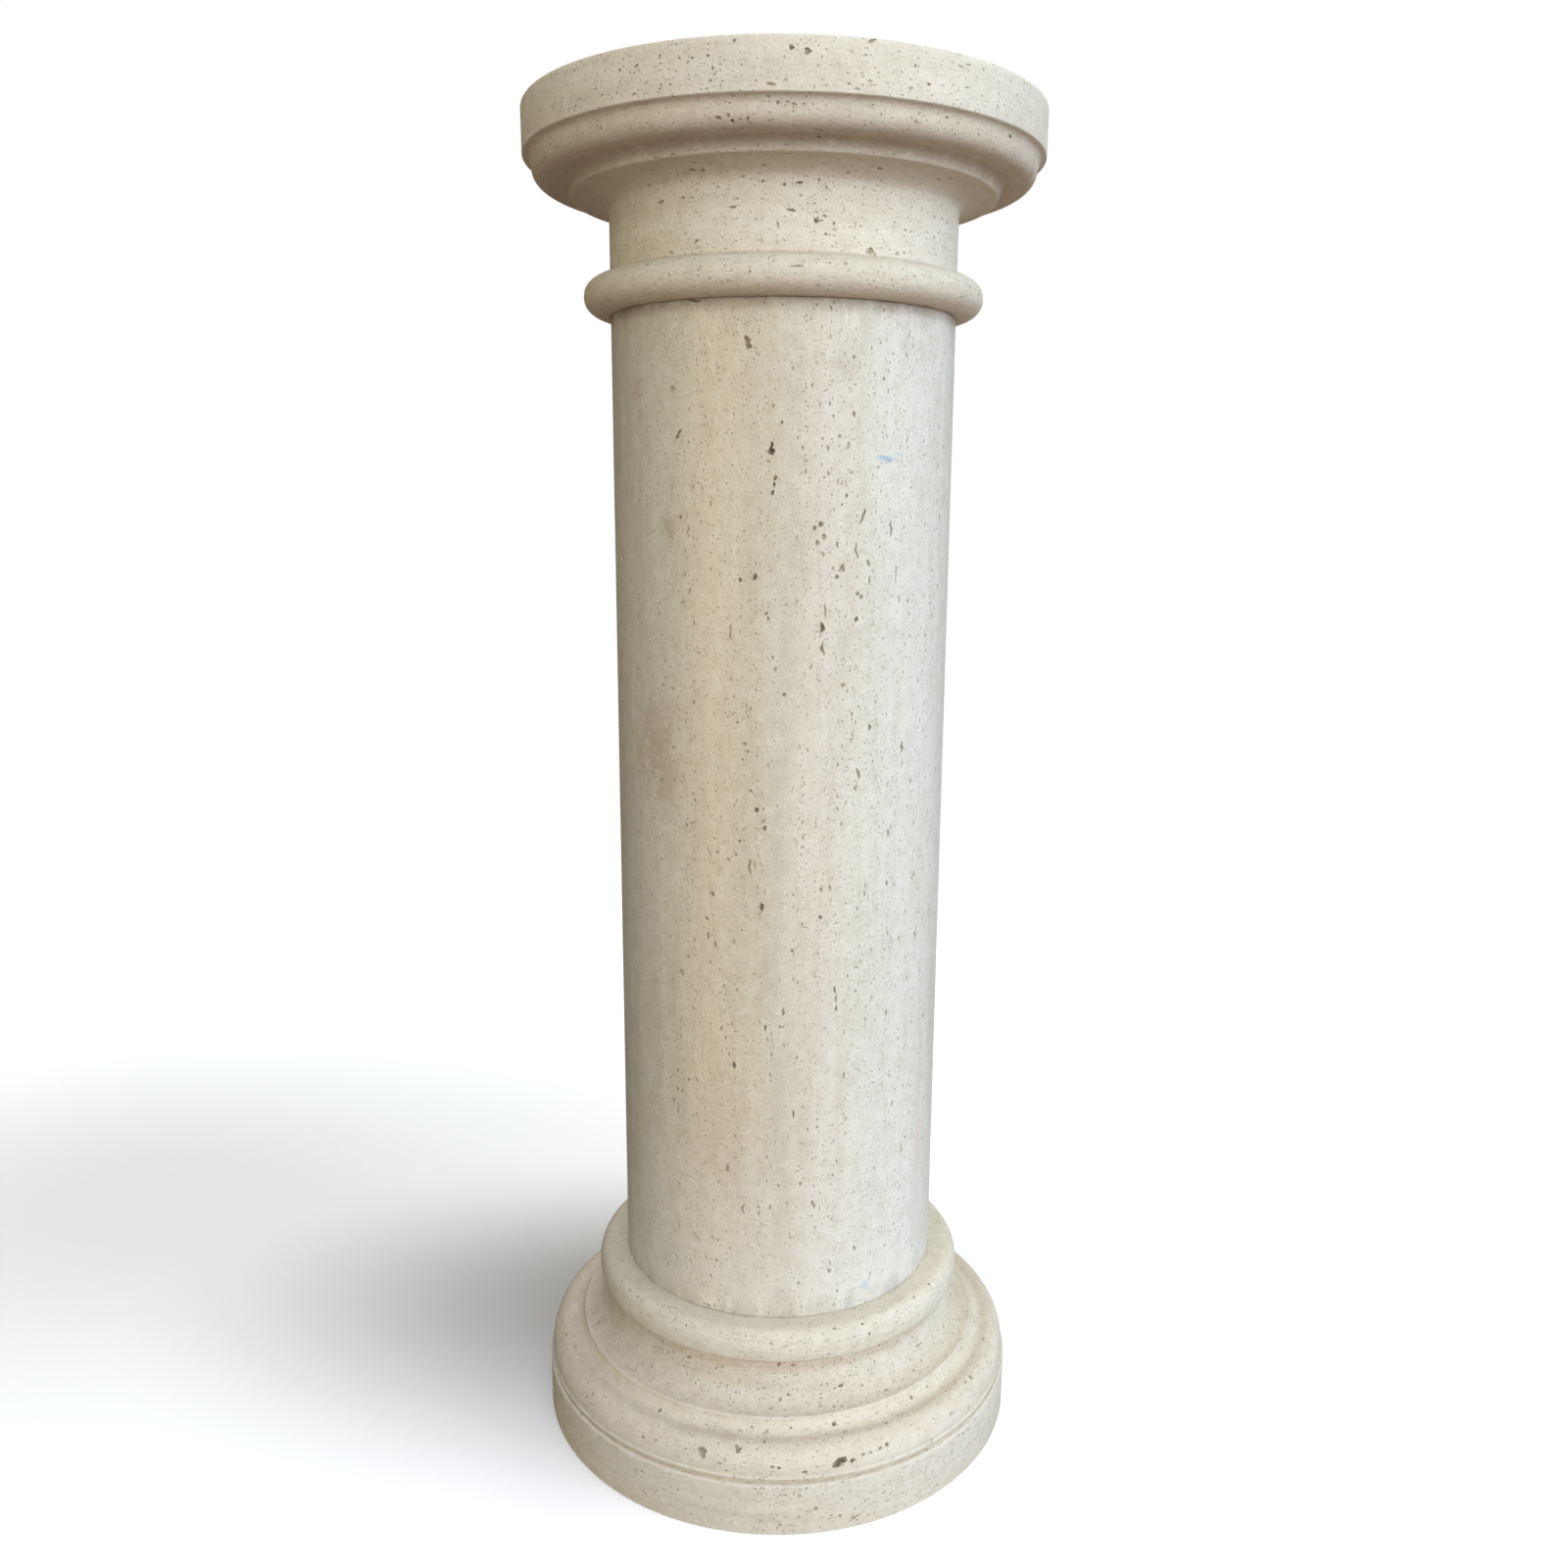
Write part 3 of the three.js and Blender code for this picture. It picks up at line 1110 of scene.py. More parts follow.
# Voids picked in the photo: across and down in its pixels, then width, height and depth in
# millimetres, and lean in degrees
shaftVoids = {
    "hook": (763, 349, 4.2, 9.5, 3.2, 12),
    "hookFoot": (764, 353, 5.0, 4.0, 2.6, 0),
    "roundScoop": (686, 397, 5.2, 5.4, 2.0, 0),
    "slant": (692, 444, 3.0, 10.5, 2.6, -34),
    "deepNotch": (787, 461, 5.6, 5.4, 5.0, 0),
    "deepNotchSpike": (788, 456, 2.6, 7.0, 4.0, -6),
    "underNotch": (784, 471, 3.0, 2.4, 1.2, 0),
    "chainHead": (791, 488, 3.0, 4.4, 2.4, 0),
    "chainMiddle": (790, 495, 2.4, 4.0, 2.6, -10),
    "chainFoot": (788, 503, 2.6, 4.2, 2.8, -8),
    "pairLeft": (831, 539, 3.0, 3.8, 2.4, 0),
    "pairRight": (838, 535, 4.0, 4.2, 2.6, 0),
    "clusterRing": (841, 548, 4.8, 5.2, 2.0, 0),
    "clusterLeft": (834, 554, 3.6, 4.2, 2.2, 20),
    "clusterFoot": (839, 566, 4.0, 4.4, 1.2, 0),
    "slashUpper": (881, 527, 2.6, 10.5, 2.6, -16),
    "slashRight": (909, 540, 2.8, 13.0, 2.4, 2),
    "slashThin": (874, 561, 2.0, 12.0, 2.2, 4),
    "nickHigh": (854, 556, 2.0, 5.0, 1.8, 12),
    "lumpPit": (860, 579, 3.8, 6.0, 3.0, 10),
    "smallLeft": (850, 580, 2.4, 2.6, 1.8, 0),
    "darkLean": (854, 589, 3.6, 3.8, 2.8, -25),
    "rowHigh": (886, 574, 3.0, 5.2, 2.2, 20),
    "rowLow": (887, 592, 2.0, 7.0, 1.8, 0),
    "twinRight": (770, 589, 3.4, 5.6, 3.4, -18),
    "twinLeft": (755, 592, 3.2, 3.8, 2.8, 0),
    "nearStain": (702, 542, 2.0, 8.0, 1.8, 0),
    "crumbs": (694, 528, 3.6, 2.6, 1.8, 30),
    "crumbsRight": (712, 525, 3.2, 2.4, 1.6, 35),
    "beadTop": (842, 624, 1.5, 12.0, 1.6, 0),
    "beadDeep": (839, 641, 4.0, 8.5, 4.0, -8),
    "beadFoot": (839, 662, 3.0, 9.5, 2.8, 0),
    "roundDeep": (874, 632, 3.6, 4.0, 3.4, 0),
    "aboveRound": (875, 606, 4.0, 3.2, 2.2, 20),
    "besideRound": (879, 609, 2.8, 3.6, 2.4, 0),
    "hairline": (745, 645, 1.6, 14.0, 1.6, 2),
    "dots": (782, 626, 2.8, 2.4, 2.0, 0),
    "dotsFoot": (784, 631, 2.6, 2.8, 2.0, 0),
    "faintScoop": (725, 565, 3.6, 2.0, 1.0, 0),
    "faintScoopRight": (745, 562, 3.4, 2.0, 1.0, 10),
    "rightHair": (914, 586, 1.4, 14.0, 1.2, 0),
    "rightBead": (917, 611, 1.8, 6.5, 1.6, 6),
    "highHair": (866, 454, 1.6, 5.5, 1.4, 0),
    "highHairRight": (926, 449, 1.6, 6.0, 1.4, -14),
    "edgeNick": (928, 341, 1.6, 6.0, 1.4, -5),
    "soloRight": (864, 506, 2.8, 3.0, 2.2, 0),
    "soloMiddle": (798, 431, 2.2, 2.6, 2.0, 0),
    "soloHigh": (789, 414, 2.2, 2.8, 1.6, -20),
    "lowLeft": (677, 699, 3.0, 2.8, 2.0, 0),
    "dimple": (791, 683, 3.0, 3.6, 1.6, 0),
    "dimpleLow": (800, 709, 3.0, 3.2, 2.0, 0),
    "eyelet": (860, 699, 4.0, 3.6, 1.8, 0),
    "inkPit": (887, 742, 3.0, 5.2, 3.2, 4),
    "teardrop": (920, 762, 3.4, 9.5, 2.8, 8),
    "teardropTail": (920, 779, 1.8, 9.0, 1.2, 0),
    "arch": (760, 759, 3.0, 3.6, 1.6, 20),
    "archFoot": (762, 767, 5.0, 3.6, 1.6, 0),
    "trailPit": (876, 789, 3.0, 9.0, 2.4, 4),
    "trailPitLow": (873, 804, 2.0, 5.0, 2.0, 0),
    "outerPit": (929, 797, 2.6, 4.2, 2.4, 0),
    "deepDot": (772, 827, 3.6, 4.4, 3.6, 0),
    "underDot": (780, 845, 3.2, 4.0, 3.0, 0),
    "underDotHigh": (779, 838, 2.2, 3.0, 1.8, 0),
    "nearDot": (766, 807, 2.8, 2.6, 1.8, 0),
    "leftDot": (707, 810, 2.6, 2.4, 2.0, 0),
    "leftRow": (724, 871, 1.8, 7.5, 1.8, 6),
    "leftRowPit": (732, 870, 3.0, 2.6, 2.2, 0),
    "rowPitRight": (751, 872, 3.0, 2.6, 2.2, 0),
    "rowPitLow": (743, 877, 3.0, 2.6, 2.2, 0),
    "rowPitHigh": (755, 858, 2.4, 2.6, 2.0, 0),
    "longBow": (764, 884, 2.6, 12.0, 2.0, 4),
    "longBowSide": (769, 883, 4.2, 5.0, 1.0, 0),
    "wedge": (727, 912, 4.0, 3.8, 3.0, 0),
    "bigDrop": (777, 926, 3.8, 8.0, 3.4, 12),
    "midRight": (838, 908, 2.8, 4.2, 2.4, 0),
    "midRightLow": (837, 936, 3.0, 3.8, 3.2, 0),
    "farRight": (905, 901, 2.8, 4.6, 2.2, 0),
    "farRightLow": (882, 912, 2.0, 5.0, 1.8, 0),
    "stepHigh": (721, 937, 3.0, 2.8, 2.6, 0),
    "stepMiddle": (722, 955, 2.8, 6.5, 2.4, 6),
    "stepLow": (730, 964, 3.0, 4.0, 2.4, 0),
    "stepFoot": (725, 982, 3.2, 2.6, 2.2, 0),
    "leftTick": (684, 956, 2.0, 5.8, 2.0, 10),
    "leftTickRight": (709, 959, 1.8, 5.0, 1.6, 0),
    "peck": (696, 992, 4.6, 4.8, 3.8, 0),
    "peckTail": (687, 1002, 1.8, 7.5, 1.4, 10),
    "peckSide": (699, 1001, 3.0, 2.6, 1.6, 0),
    "pinRight": (808, 970, 2.6, 2.8, 2.6, 0),
    "edgeSlit": (934, 952, 2.4, 10.0, 2.6, 0),
    "edgeScoop": (917, 957, 3.6, 4.2, 1.6, 0),
    "stitchHigh": (852, 1010, 2.2, 7.0, 2.2, 0),
    "stitchMiddle": (853, 1019, 2.2, 6.0, 2.2, 4),
    "stitchLow": (853, 1029, 2.2, 5.5, 2.2, 0),
    "commaPit": (799, 1033, 2.8, 5.2, 2.2, -8),
    "thinMark": (781, 1049, 2.2, 5.8, 2.0, 0),
    "smallMark": (747, 1045, 1.8, 3.4, 2.0, 0),
    "lowerWedge": (749, 1087, 3.8, 5.8, 3.2, 14),
    "pockLow": (742, 1192, 4.2, 7.5, 2.4, 0),
    "frayTop": (682, 1170, 1.8, 11.0, 1.4, 4),
    "frayLeft": (677, 1185, 2.8, 3.4, 2.0, 0),
    "frayFoot": (682, 1192, 2.8, 5.4, 2.0, 0),
    "plumb": (759, 1234, 2.6, 11.5, 2.4, 0),
    "plumbRight": (830, 1229, 2.8, 7.8, 2.2, 8),
    "rosette": (816, 1208, 3.4, 3.6, 1.8, 0),
    "greyTick": (910, 1126, 2.4, 4.4, 2.4, -14),
    "fork": (919, 1174, 2.6, 7.6, 1.8, -18),
    "calm": (892, 1192, 2.8, 3.0, 1.8, 0),
    "lowSlash": (809, 1137, 1.8, 7.2, 1.8, 6),
    "footSlash": (711, 1262, 2.6, 11.0, 2.2, 28),
    "footSlashPit": (727, 1263, 2.6, 2.8, 2.0, 0),
    "footPit": (846, 1297, 3.4, 4.8, 2.6, -10),
    "footPitRight": (854, 1317, 2.2, 3.4, 2.0, 0),
    "footDot": (731, 1286, 2.4, 2.4, 1.8, 0),
    "footShadow": (689, 1282, 5.0, 5.6, 1.0, 0),
    "seamGap": (708, 306, 12.0, 1.8, 3.0, 0),
    "seamNick": (688, 305, 5.0, 1.6, 2.0, 0),
    "footChip": (721, 1331, 8.5, 3.0, 2.4, 0),
    "footChipRight": (729, 1332, 4.0, 2.4, 1.8, 0),
}

capitalVoids = {
    "fasciaDash": (749, 41, 3.0, 2.0, 2.0, 0),
    "fasciaDot": (808, 48, 4.0, 2.8, 2.6, 0),
    "fasciaEye": (824, 52, 5.2, 4.4, 2.4, 0),
    "fasciaAngle": (890, 41, 7.0, 2.4, 2.0, 20),
    "fasciaSliver": (673, 58, 1.8, 3.6, 1.8, -10),
    "fasciaRow": (693, 59, 2.4, 1.8, 1.6, 0),
    "fasciaRowRight": (706, 59, 2.8, 1.8, 1.6, 0),
    "fasciaRowEnd": (722, 57, 2.6, 2.0, 1.6, 0),
    "fasciaLeftPit": (632, 72, 3.4, 2.6, 2.0, 0),
    "fasciaLeftDash": (649, 68, 4.4, 1.6, 1.6, 10),
    "fasciaRightPit": (934, 67, 2.2, 2.4, 2.0, 0),
    "fasciaRightLow": (948, 86, 2.8, 2.0, 2.0, 0),
    "fasciaScrape": (888, 83, 5.4, 1.6, 1.0, 0),
    "fasciaUnder": (647, 96, 3.6, 1.8, 1.4, 0),
    "ovoloLeft": (733, 121, 4.4, 3.4, 2.0, 0),
    "ovoloDot": (747, 124, 4.0, 3.0, 2.6, 20),
    "ovoloHigh": (743, 118, 3.0, 3.4, 1.8, 0),
    "ovoloSlash": (763, 122, 2.2, 4.6, 1.6, -20),
    "soffitDash": (705, 174, 5.4, 2.6, 2.4, 0),
    "soffitPit": (717, 174, 3.6, 3.0, 3.0, 0),
    "soffitMiddle": (780, 169, 4.4, 2.2, 2.2, -10),
    "soffitRight": (898, 172, 5.0, 3.0, 2.8, -12),
    "soffitDot": (865, 176, 2.6, 1.8, 2.0, 0),
    "soffitFar": (958, 183, 4.6, 2.4, 2.0, -20),
    "soffitFarRight": (970, 182, 5.2, 1.8, 1.6, 0),
    "neckDash": (816, 186, 6.0, 2.0, 2.2, 0),
    "neckDot": (800, 188, 3.4, 2.2, 2.4, 0),
    "neckSmall": (778, 185, 3.0, 2.0, 2.0, 0),
    "neckLeftPit": (662, 189, 3.2, 2.8, 2.4, 0),
    "neckLeftRow": (697, 202, 4.4, 1.6, 1.4, 0),
    "neckLeftRowEnd": (706, 202, 3.2, 1.6, 1.4, 0),
    "neckSlant": (674, 207, 7.6, 2.8, 2.4, 14),
    "neckSeat": (748, 211, 5.6, 2.0, 2.2, 0),
    "neckDeep": (833, 225, 4.6, 3.4, 3.6, 0),
    "neckDeepTail": (838, 225, 3.4, 1.6, 1.6, 0),
    "neckUnder": (843, 239, 2.2, 2.0, 2.2, 0),
    "neckSide": (851, 228, 2.0, 2.2, 1.8, 0),
    "neckFaint": (794, 229, 2.4, 4.4, 1.4, 20),
    "neckLean": (710, 247, 5.2, 2.2, 2.4, 36),
    "neckLeftLow": (685, 258, 4.4, 2.2, 2.0, -20),
    "neckScoop": (888, 257, 8.0, 6.0, 2.2, 0),
    "neckScoopTail": (893, 261, 4.0, 3.6, 1.4, 30),
    "ringScratch": (813, 272, 11.0, 1.8, 1.4, 2),
    "ringDot": (765, 277, 2.2, 2.0, 1.8, 0),
    "ringPit": (863, 269, 2.8, 2.8, 1.6, 0),
    "ringFar": (981, 303, 2.6, 2.4, 2.0, 0),
    "filletNick": (668, 161, 4.0, 2.0, 1.4, 0),
    "filletNickRight": (687, 158, 4.6, 2.2, 1.6, 0),
    "filletFar": (912, 158, 2.6, 1.6, 1.4, 0),
}

baseVoids = {
    "wedgePit": (716, 1481, 8.4, 7.0, 3.6, 0),
    "wedgePitPoint": (718, 1485, 4.0, 4.4, 3.2, 0),
    "twinPit": (753, 1479, 5.4, 5.0, 3.0, 20),
    "twinPitHigh": (751, 1475, 3.0, 3.4, 1.8, 0),
    "darkCave": (856, 1493, 11.0, 7.4, 6.4, 24),
    "darkCaveEnd": (861, 1490, 6.0, 5.4, 5.0, 10),
    "caveCrumb": (870, 1490, 4.6, 3.4, 3.4, 0),
    "caveCrumbRight": (881, 1484, 3.4, 2.4, 2.0, 10),
    "caveTrail": (888, 1482, 2.8, 2.4, 1.8, 0),
    "trailEnd": (898, 1478, 3.2, 2.6, 2.2, 0),
    "trailEndPit": (905, 1474, 4.0, 3.6, 2.8, 0),
    "lowPair": (788, 1497, 3.2, 2.8, 2.6, 0),
    "lowPairRight": (795, 1498, 3.0, 2.8, 2.6, 0),
    "lowDash": (821, 1502, 4.2, 2.6, 2.4, 0),
    "lowLeft": (734, 1493, 3.6, 2.2, 1.8, -10),
    "filletPit": (673, 1439, 4.0, 3.6, 3.0, 0),
    "hollowPit": (851, 1453, 4.0, 3.8, 3.0, 0),
    "hollowDot": (767, 1456, 2.2, 2.2, 2.0, 0),
    "hollowDotRight": (807, 1457, 2.0, 2.0, 1.8, 0),
    "rightDot": (978, 1465, 2.6, 2.4, 2.2, 0),
    "rightPit": (930, 1426, 3.0, 3.0, 2.4, 0),
    "rightPitHigh": (946, 1415, 2.4, 2.2, 1.8, 0),
    "rosettePit": (990, 1405, 4.0, 4.6, 2.4, 0),
    "rosettePitLow": (985, 1410, 3.4, 3.0, 2.0, 0),
    "rimDot": (1003, 1366, 2.6, 2.4, 2.2, 0),
    "collarPit": (948, 1310, 3.2, 3.0, 3.0, 0),
    "collarDash": (952, 1292, 3.4, 2.2, 1.8, 20),
    "torusDot": (880, 1351, 2.6, 2.4, 2.2, 0),
    "torusDotLow": (887, 1361, 2.6, 2.4, 2.4, 0),
    "scotiaLeft": (702, 1385, 3.0, 2.6, 2.2, 0),
    "scotiaLeftHigh": (687, 1378, 3.4, 2.0, 1.8, 0),
    "collarLeft": (649, 1302, 4.6, 2.6, 1.8, -30),
    "scotiaMiddle": (804, 1423, 2.4, 2.2, 1.8, 0),
    "scotiaCluster": (796, 1428, 3.6, 3.0, 2.0, 0),
    "scotiaUpper": (795, 1392, 3.6, 2.8, 2.2, 0),
    "scotiaUpperRight": (809, 1393, 3.8, 2.2, 1.8, 0),
    "plinthLeft": (611, 1465, 3.6, 2.4, 1.8, 0),
    "plinthPale": (636, 1485, 5.4, 2.6, 1.4, 0),
    "plinthLow": (857, 1547, 3.2, 3.0, 2.6, 0),
    "plinthDash": (833, 1539, 4.2, 1.8, 1.8, 10),
    "plinthFoot": (796, 1556, 3.4, 2.4, 2.0, 0),
    "plinthDot": (715, 1528, 2.2, 2.0, 1.8, 0),
    "plinthDotLeft": (692, 1520, 2.4, 1.8, 1.6, 0),
    "torusScrape": (687, 1347, 5.2, 4.0, 1.2, 20),
    "torusScoop": (743, 1367, 3.4, 2.4, 1.2, 0),
}


# One batch of scattered voids: their spacing and sizes in millimetres, the most that a square metre has,
# where in the trail noise they begin and are densest, and which share of them is off the trails
def voidBatch(spacing, sizes, most, trail, offTrail, seed, facets=2, **more):
    return {
        "Spacing": spacing * mm,
        "Smallest": sizes[0] * mm,
        "Largest": sizes[1] * mm,
        "Most Per Area": most,
        "Trail From": trail[0],
        "Trail To": trail[1],
        "Off Trail": offTrail,
        "Seed": seed,
        "Facets": facets,
        **more,
    }


# The first batch of each stone keeps off the photographed side, where voids of its size were picked
behindOnly = {"Share In Front": 0.0, "Share Behind": 1.0}
shaftScatter = [
    voidBatch(16, (2.2, 5.2), 1500.0, (0.5, 0.64), 0.1, 21, **behindOnly),
    voidBatch(9.5, (1.6, 3.2), 3000.0, (0.54, 0.66), 0.03, 3),
    voidBatch(5.8, (1.1, 2.2), 6000.0, (0.53, 0.64), 0.03, 6),
    voidBatch(3.6, (0.8, 1.7), 22000.0, (0.5, 0.64), 0.06, 8, 1, **{"Long Shape": (1.0, 1.9, 1.4)}),
]
capitalScatter = [
    voidBatch(13.5, (2, 4.5), 1500.0, (0.5, 0.64), 0.1, 22, **behindOnly),
    voidBatch(9, (1.5, 3), 3000.0, (0.54, 0.66), 0.03, 4),
    voidBatch(5.8, (1.1, 2.2), 6000.0, (0.53, 0.64), 0.03, 5),
    voidBatch(3.4, (0.8, 1.6), 26000.0, (0.5, 0.64), 0.07, 9, 1, **{"Long Shape": (1.9, 1.0, 1.4)}),
]
baseScatter = [
    voidBatch(13.5, (2, 4.5), 1800.0, (0.5, 0.64), 0.1, 23, **behindOnly),
    voidBatch(9, (1.5, 3), 4000.0, (0.53, 0.64), 0.03, 14),
    voidBatch(5.8, (1.1, 2.2), 11000.0, (0.52, 0.62), 0.04, 15),
    voidBatch(3.4, (0.8, 1.6), 40000.0, (0.49, 0.62), 0.09, 19, 1, **{"Long Shape": (1.9, 1.0, 1.4)}),
]

# How the trails run and which shapes the voids have, as shares of a void's size across, up and inwards
uprightBedding = {
    "Trail Stretch": (55.0, 55.0, 6.0),
    "Squat Shape": (0.75, 0.95, 1.1),
    "Long Shape": (1.0, 2.4, 1.6),
    "Lean": 0.35,
}
levelBedding = {
    "Trail Stretch": (11.0, 11.0, 70.0),
    "Squat Shape": (0.95, 0.75, 1.1),
    "Long Shape": (2.4, 1.0, 1.6),
    "Lean": 0.3,
}


# Small bites along one arris: its ring and the widest bite in millimetres, how many places the ring has
# and which share of them is bitten, and how deep a bite goes for its size
def bitesAlong(radius, height, widest, places, share, deep, seed):
    return {
        "Radius": radius * mm,
        "Height": height * mm,
        "Places": places,
        "Share": share,
        "Smallest": 0.0008,
        "Largest": widest * mm,
        "Shape": (deep, 1.3, 0.5),
        "Seed": seed,
    }


scatterTree = scatteredVoidsTree()
nibbleTree = nibbledArrisTree()


# Turns a stone, makes its finish, cuts its voids and marks its traces
def makeStone(name, profile, longest, bedHeights, finishOf, scatter, bedding, seen, nibbles):
    outline = withFillIn(profile, longest)
    stone = turnedStone(name, outline, bedHeights)
    finish = finishOf(stone)
    stone.data.materials.append(finish)
    marked = stone.data.copy()
    original = bpy.data.objects.new("original", marked)
    print(name, "turned with", len(stone.data.polygons), "faces")
    carveSeenVoids(stone, seen, finish)
    print(name, "seen voids cut:", len(stone.data.polygons), "faces")
    for batch in scatter:
        lumps = grown(scatterTree, original, {**bedding, **batch, "Finish": finish})
        print(name, "scatters", len(lumps.polygons) // (20 * 4 ** (batch["Facets"] - 1)), "voids")
        carve(stone, lumps)
        print(name, "now has", len(stone.data.polygons), "faces")
    for batch in nibbles:
        carve(stone, grown(nibbleTree, original, {**batch, "Finish": finish}))
    bpy.data.objects.remove(original)
    bpy.data.meshes.remove(marked)
    finishShading(stone, turning["crispOver"])
    markTraces(stone, profile)
    print(name, "has", len(stone.data.polygons), "faces")
    return stone


def shaftFinishOf(stone):
    stains = [
        # Painted shade with dust: a darker band on the shaft's top, just under the capital's ring
        stainRound(862, 9, (150, 133, 110), 0.6, 0.3, 0.0),
        stainAt(stone, (681, 538), (13, 13, 15), (176, 152, 120), 0.45, 0.9, 0.0),
        stainAt(stone, (672, 770), (34, 34, 58), (184, 160, 134), 0.6, 0.9, 0.0),
        stainAt(stone, (862, 375), (14, 14, 16), (190, 178, 160), 0.4),
        stainAt(stone, (800, 385), (40, 40, 30), (208, 190, 172), 0.4),
        stainAt(stone, (648, 402), (12, 12, 14), (206, 176, 158), 0.35),
        stainAt(stone, (735, 1190), (40, 40, 90), (212, 192, 172), 0.4),
        stainAt(stone, (936, 1170), (7, 7, 46), (226, 192, 176), 0.5),
        stainAt(stone, (795, 1322), (10, 10, 12), (184, 176, 166), 0.45),
        stainAt(stone, (688, 1282), (14, 14, 14), (190, 180, 164), 0.4),
        stainOf((0, 0, baseHeight * mm), (0.3, 0.3, 0.2), (240, 235, 226), 0.5, 0.3, 0.1),
        stainAt(stone, (900, 467), (7, 7, 1.8), (124, 176, 210), 0.6, 1.3, 0.1),
        stainAt(stone, (907, 469), (8, 8, 2.8), (116, 170, 206), 0.6, 1.2, 0.1),
        stainAt(stone, (915, 464), (6, 6, 1.8), (150, 188, 212), 0.4, 1.3, 0.1),
        stainAt(stone, (883, 1312), (5, 5, 7), (168, 196, 214), 0.6, 1.0, 0.1),
        stainAt(stone, (872, 1328), (12, 12, 2.6), (176, 200, 214), 0.5, 1.2, 0.1),
    ]
    return travertine("travertineShaft", shaftFinish, stains)


def capitalFinishOf(stone):
    # Painted shade: a darker ring in the recess below the ovolo, and a darker top of the ovolo under the
    # fascia
    hollow = stainRound(949, 6, (148, 126, 102), 0.35)
    ovoloTopShade = stainRound(958, 12, (190, 172, 148), 0.35)
    leftNeck = stainAt(stone, (668, 250), (40, 40, 12), (206, 188, 150), 0.35)
    return travertine("travertineCapital", capitalFinish, [hollow, ovoloTopShade, leftNeck])


def baseFinishOf(stone):
    # Painted shade: a darker ring just under the upper torus, and another in the groove at the bead above the
    # plinth
    underTorusShade = stainRound(103, 10, (186, 158, 134), 0.6, 1.0, 0.0)
    bead = stainRound(43, 3, (188, 166, 136), 0.4, 0.8, 0.0)
    return travertine("travertineBase", baseFinish, [underTorusShade, bead])


easedFoot = 1.0
shaftStone = makeStone(
    "shaft_stone", shaftProfile(easedFoot), turning["longestOnShaft"], (baseHeight, capitalUnderside),
    shaftFinishOf, shaftScatter, uprightBedding, shaftVoids,
    [
        bitesAlong(shaftRadius, baseHeight, 3, 180, 0.25, 0.5, 2),
        bitesAlong(shaftRadius, capitalUnderside, 3.4, 180, 0.3, 0.5, 5),
    ],
)
capitalStone = makeStone(
    "capital_stone", capitalProfile(capitalShape, easedFoot), turning["longestOnMouldings"],
    (capitalUnderside,), capitalFinishOf, capitalScatter, levelBedding, capitalVoids,
    [
        bitesAlong(*capitalShape["filletArris"], 3, 240, 0.2, 0.6, 3),
        bitesAlong(abacusRadius, columnHeight, 3.2, 240, 0.15, 0.5, 6),
    ],
)
baseStone = makeStone(
    "base_stone", baseProfile(baseShape), turning["longestOnMouldings"],
    (0, baseHeight), baseFinishOf, baseScatter, levelBedding, baseVoids,
    [
        bitesAlong(*baseShape["filletArris"], 2.6, 240, 0.2, 0.6, 4),
        bitesAlong(plinthRadius, baseShape["footArrisHeight"], 3.6, 240, 0.2, 0.5, 7),
    ],
)

for piece, node in ((baseStone, "base"), (shaftStone, "shaft"), (capitalStone, "capital")):
    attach(piece, "root")
    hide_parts(node)

# Studio
# The floor looks white to the camera, but throws back only as much light as the ground in the photo did.
studio = {
    "floorSide": 40.0,
    "floorSeen": (1.0, 1.0, 1.0, 1.0),
    "floorBounce": (0.35, 0.26, 0.21, 1.0),
    "floorGlow": 0.3,
    "whiteFrom": 1.0,  # how far from the column the floor starts to fade to plain white
    "whiteTo": 2.2,
    # soft shadows painted into the colour and glow that the camera sees on the floor
    "shades": [
        {"place": (-0.683, 0.3, 0.0), "reach": (0.895, 0.68, 1.0), "amount": 0.3},
        {"place": (-0.144, 0.095, 0.0), "reach": (0.468, 0.309, 1.0), "amount": 0.6},
    ],
    "dimSide": {"place": (-0.7, 0.0, 0.0), "reach": (0.95, 1.2, 1.0), "amount": 0.9},  # throws back least
}

# Wide soft lamps: each one's turn to the right from the camera's side and its rise and spread, in degrees
lamps = {
    "roofLamp": {"turn": 0, "rise": 88, "spread": 60, "strength": 1.39, "colour": (0.88, 0.86, 1.0)},
    "leftLamp": {"turn": -16, "rise": 12, "spread": 50, "strength": 1.3, "colour": (1.0, 0.97, 0.64)},
    "frontLamp": {"turn": 20, "rise": 12, "spread": 50, "strength": 1.85, "colour": (0.68, 0.76, 1.0)},
    "rightLamp": {"turn": 70, "rise": 12, "spread": 50, "strength": 2.26, "colour": (0.7, 0.87, 1.0)},
    "sideLamp": {"turn": 140, "rise": 42, "spread": 50, "strength": 0.46, "colour": (0.95, 1.0, 0.45)},
    "backLamp": {"turn": 180, "rise": 20, "spread": 50, "strength": 0.6, "colour": (1.0, 0.97, 0.9)},
}


# The share that a soft patch on the floor leaves: of the seen colour and glow for a painted shadow, of the
# thrown-back light for the dim side
def leftBy(tree, place, patch):
    mask = placeGroup(tree, "stain", {
        "Vector": place,
        "Centre": patch["place"],
        "Reach": patch["reach"],
        "Ragged": 0.0,
        "Core": 0.0,
    })["Mask"]
    return calculate(tree, "SUBTRACT", 1.0, calculate(tree, "MULTIPLY", mask, patch["amount"]))


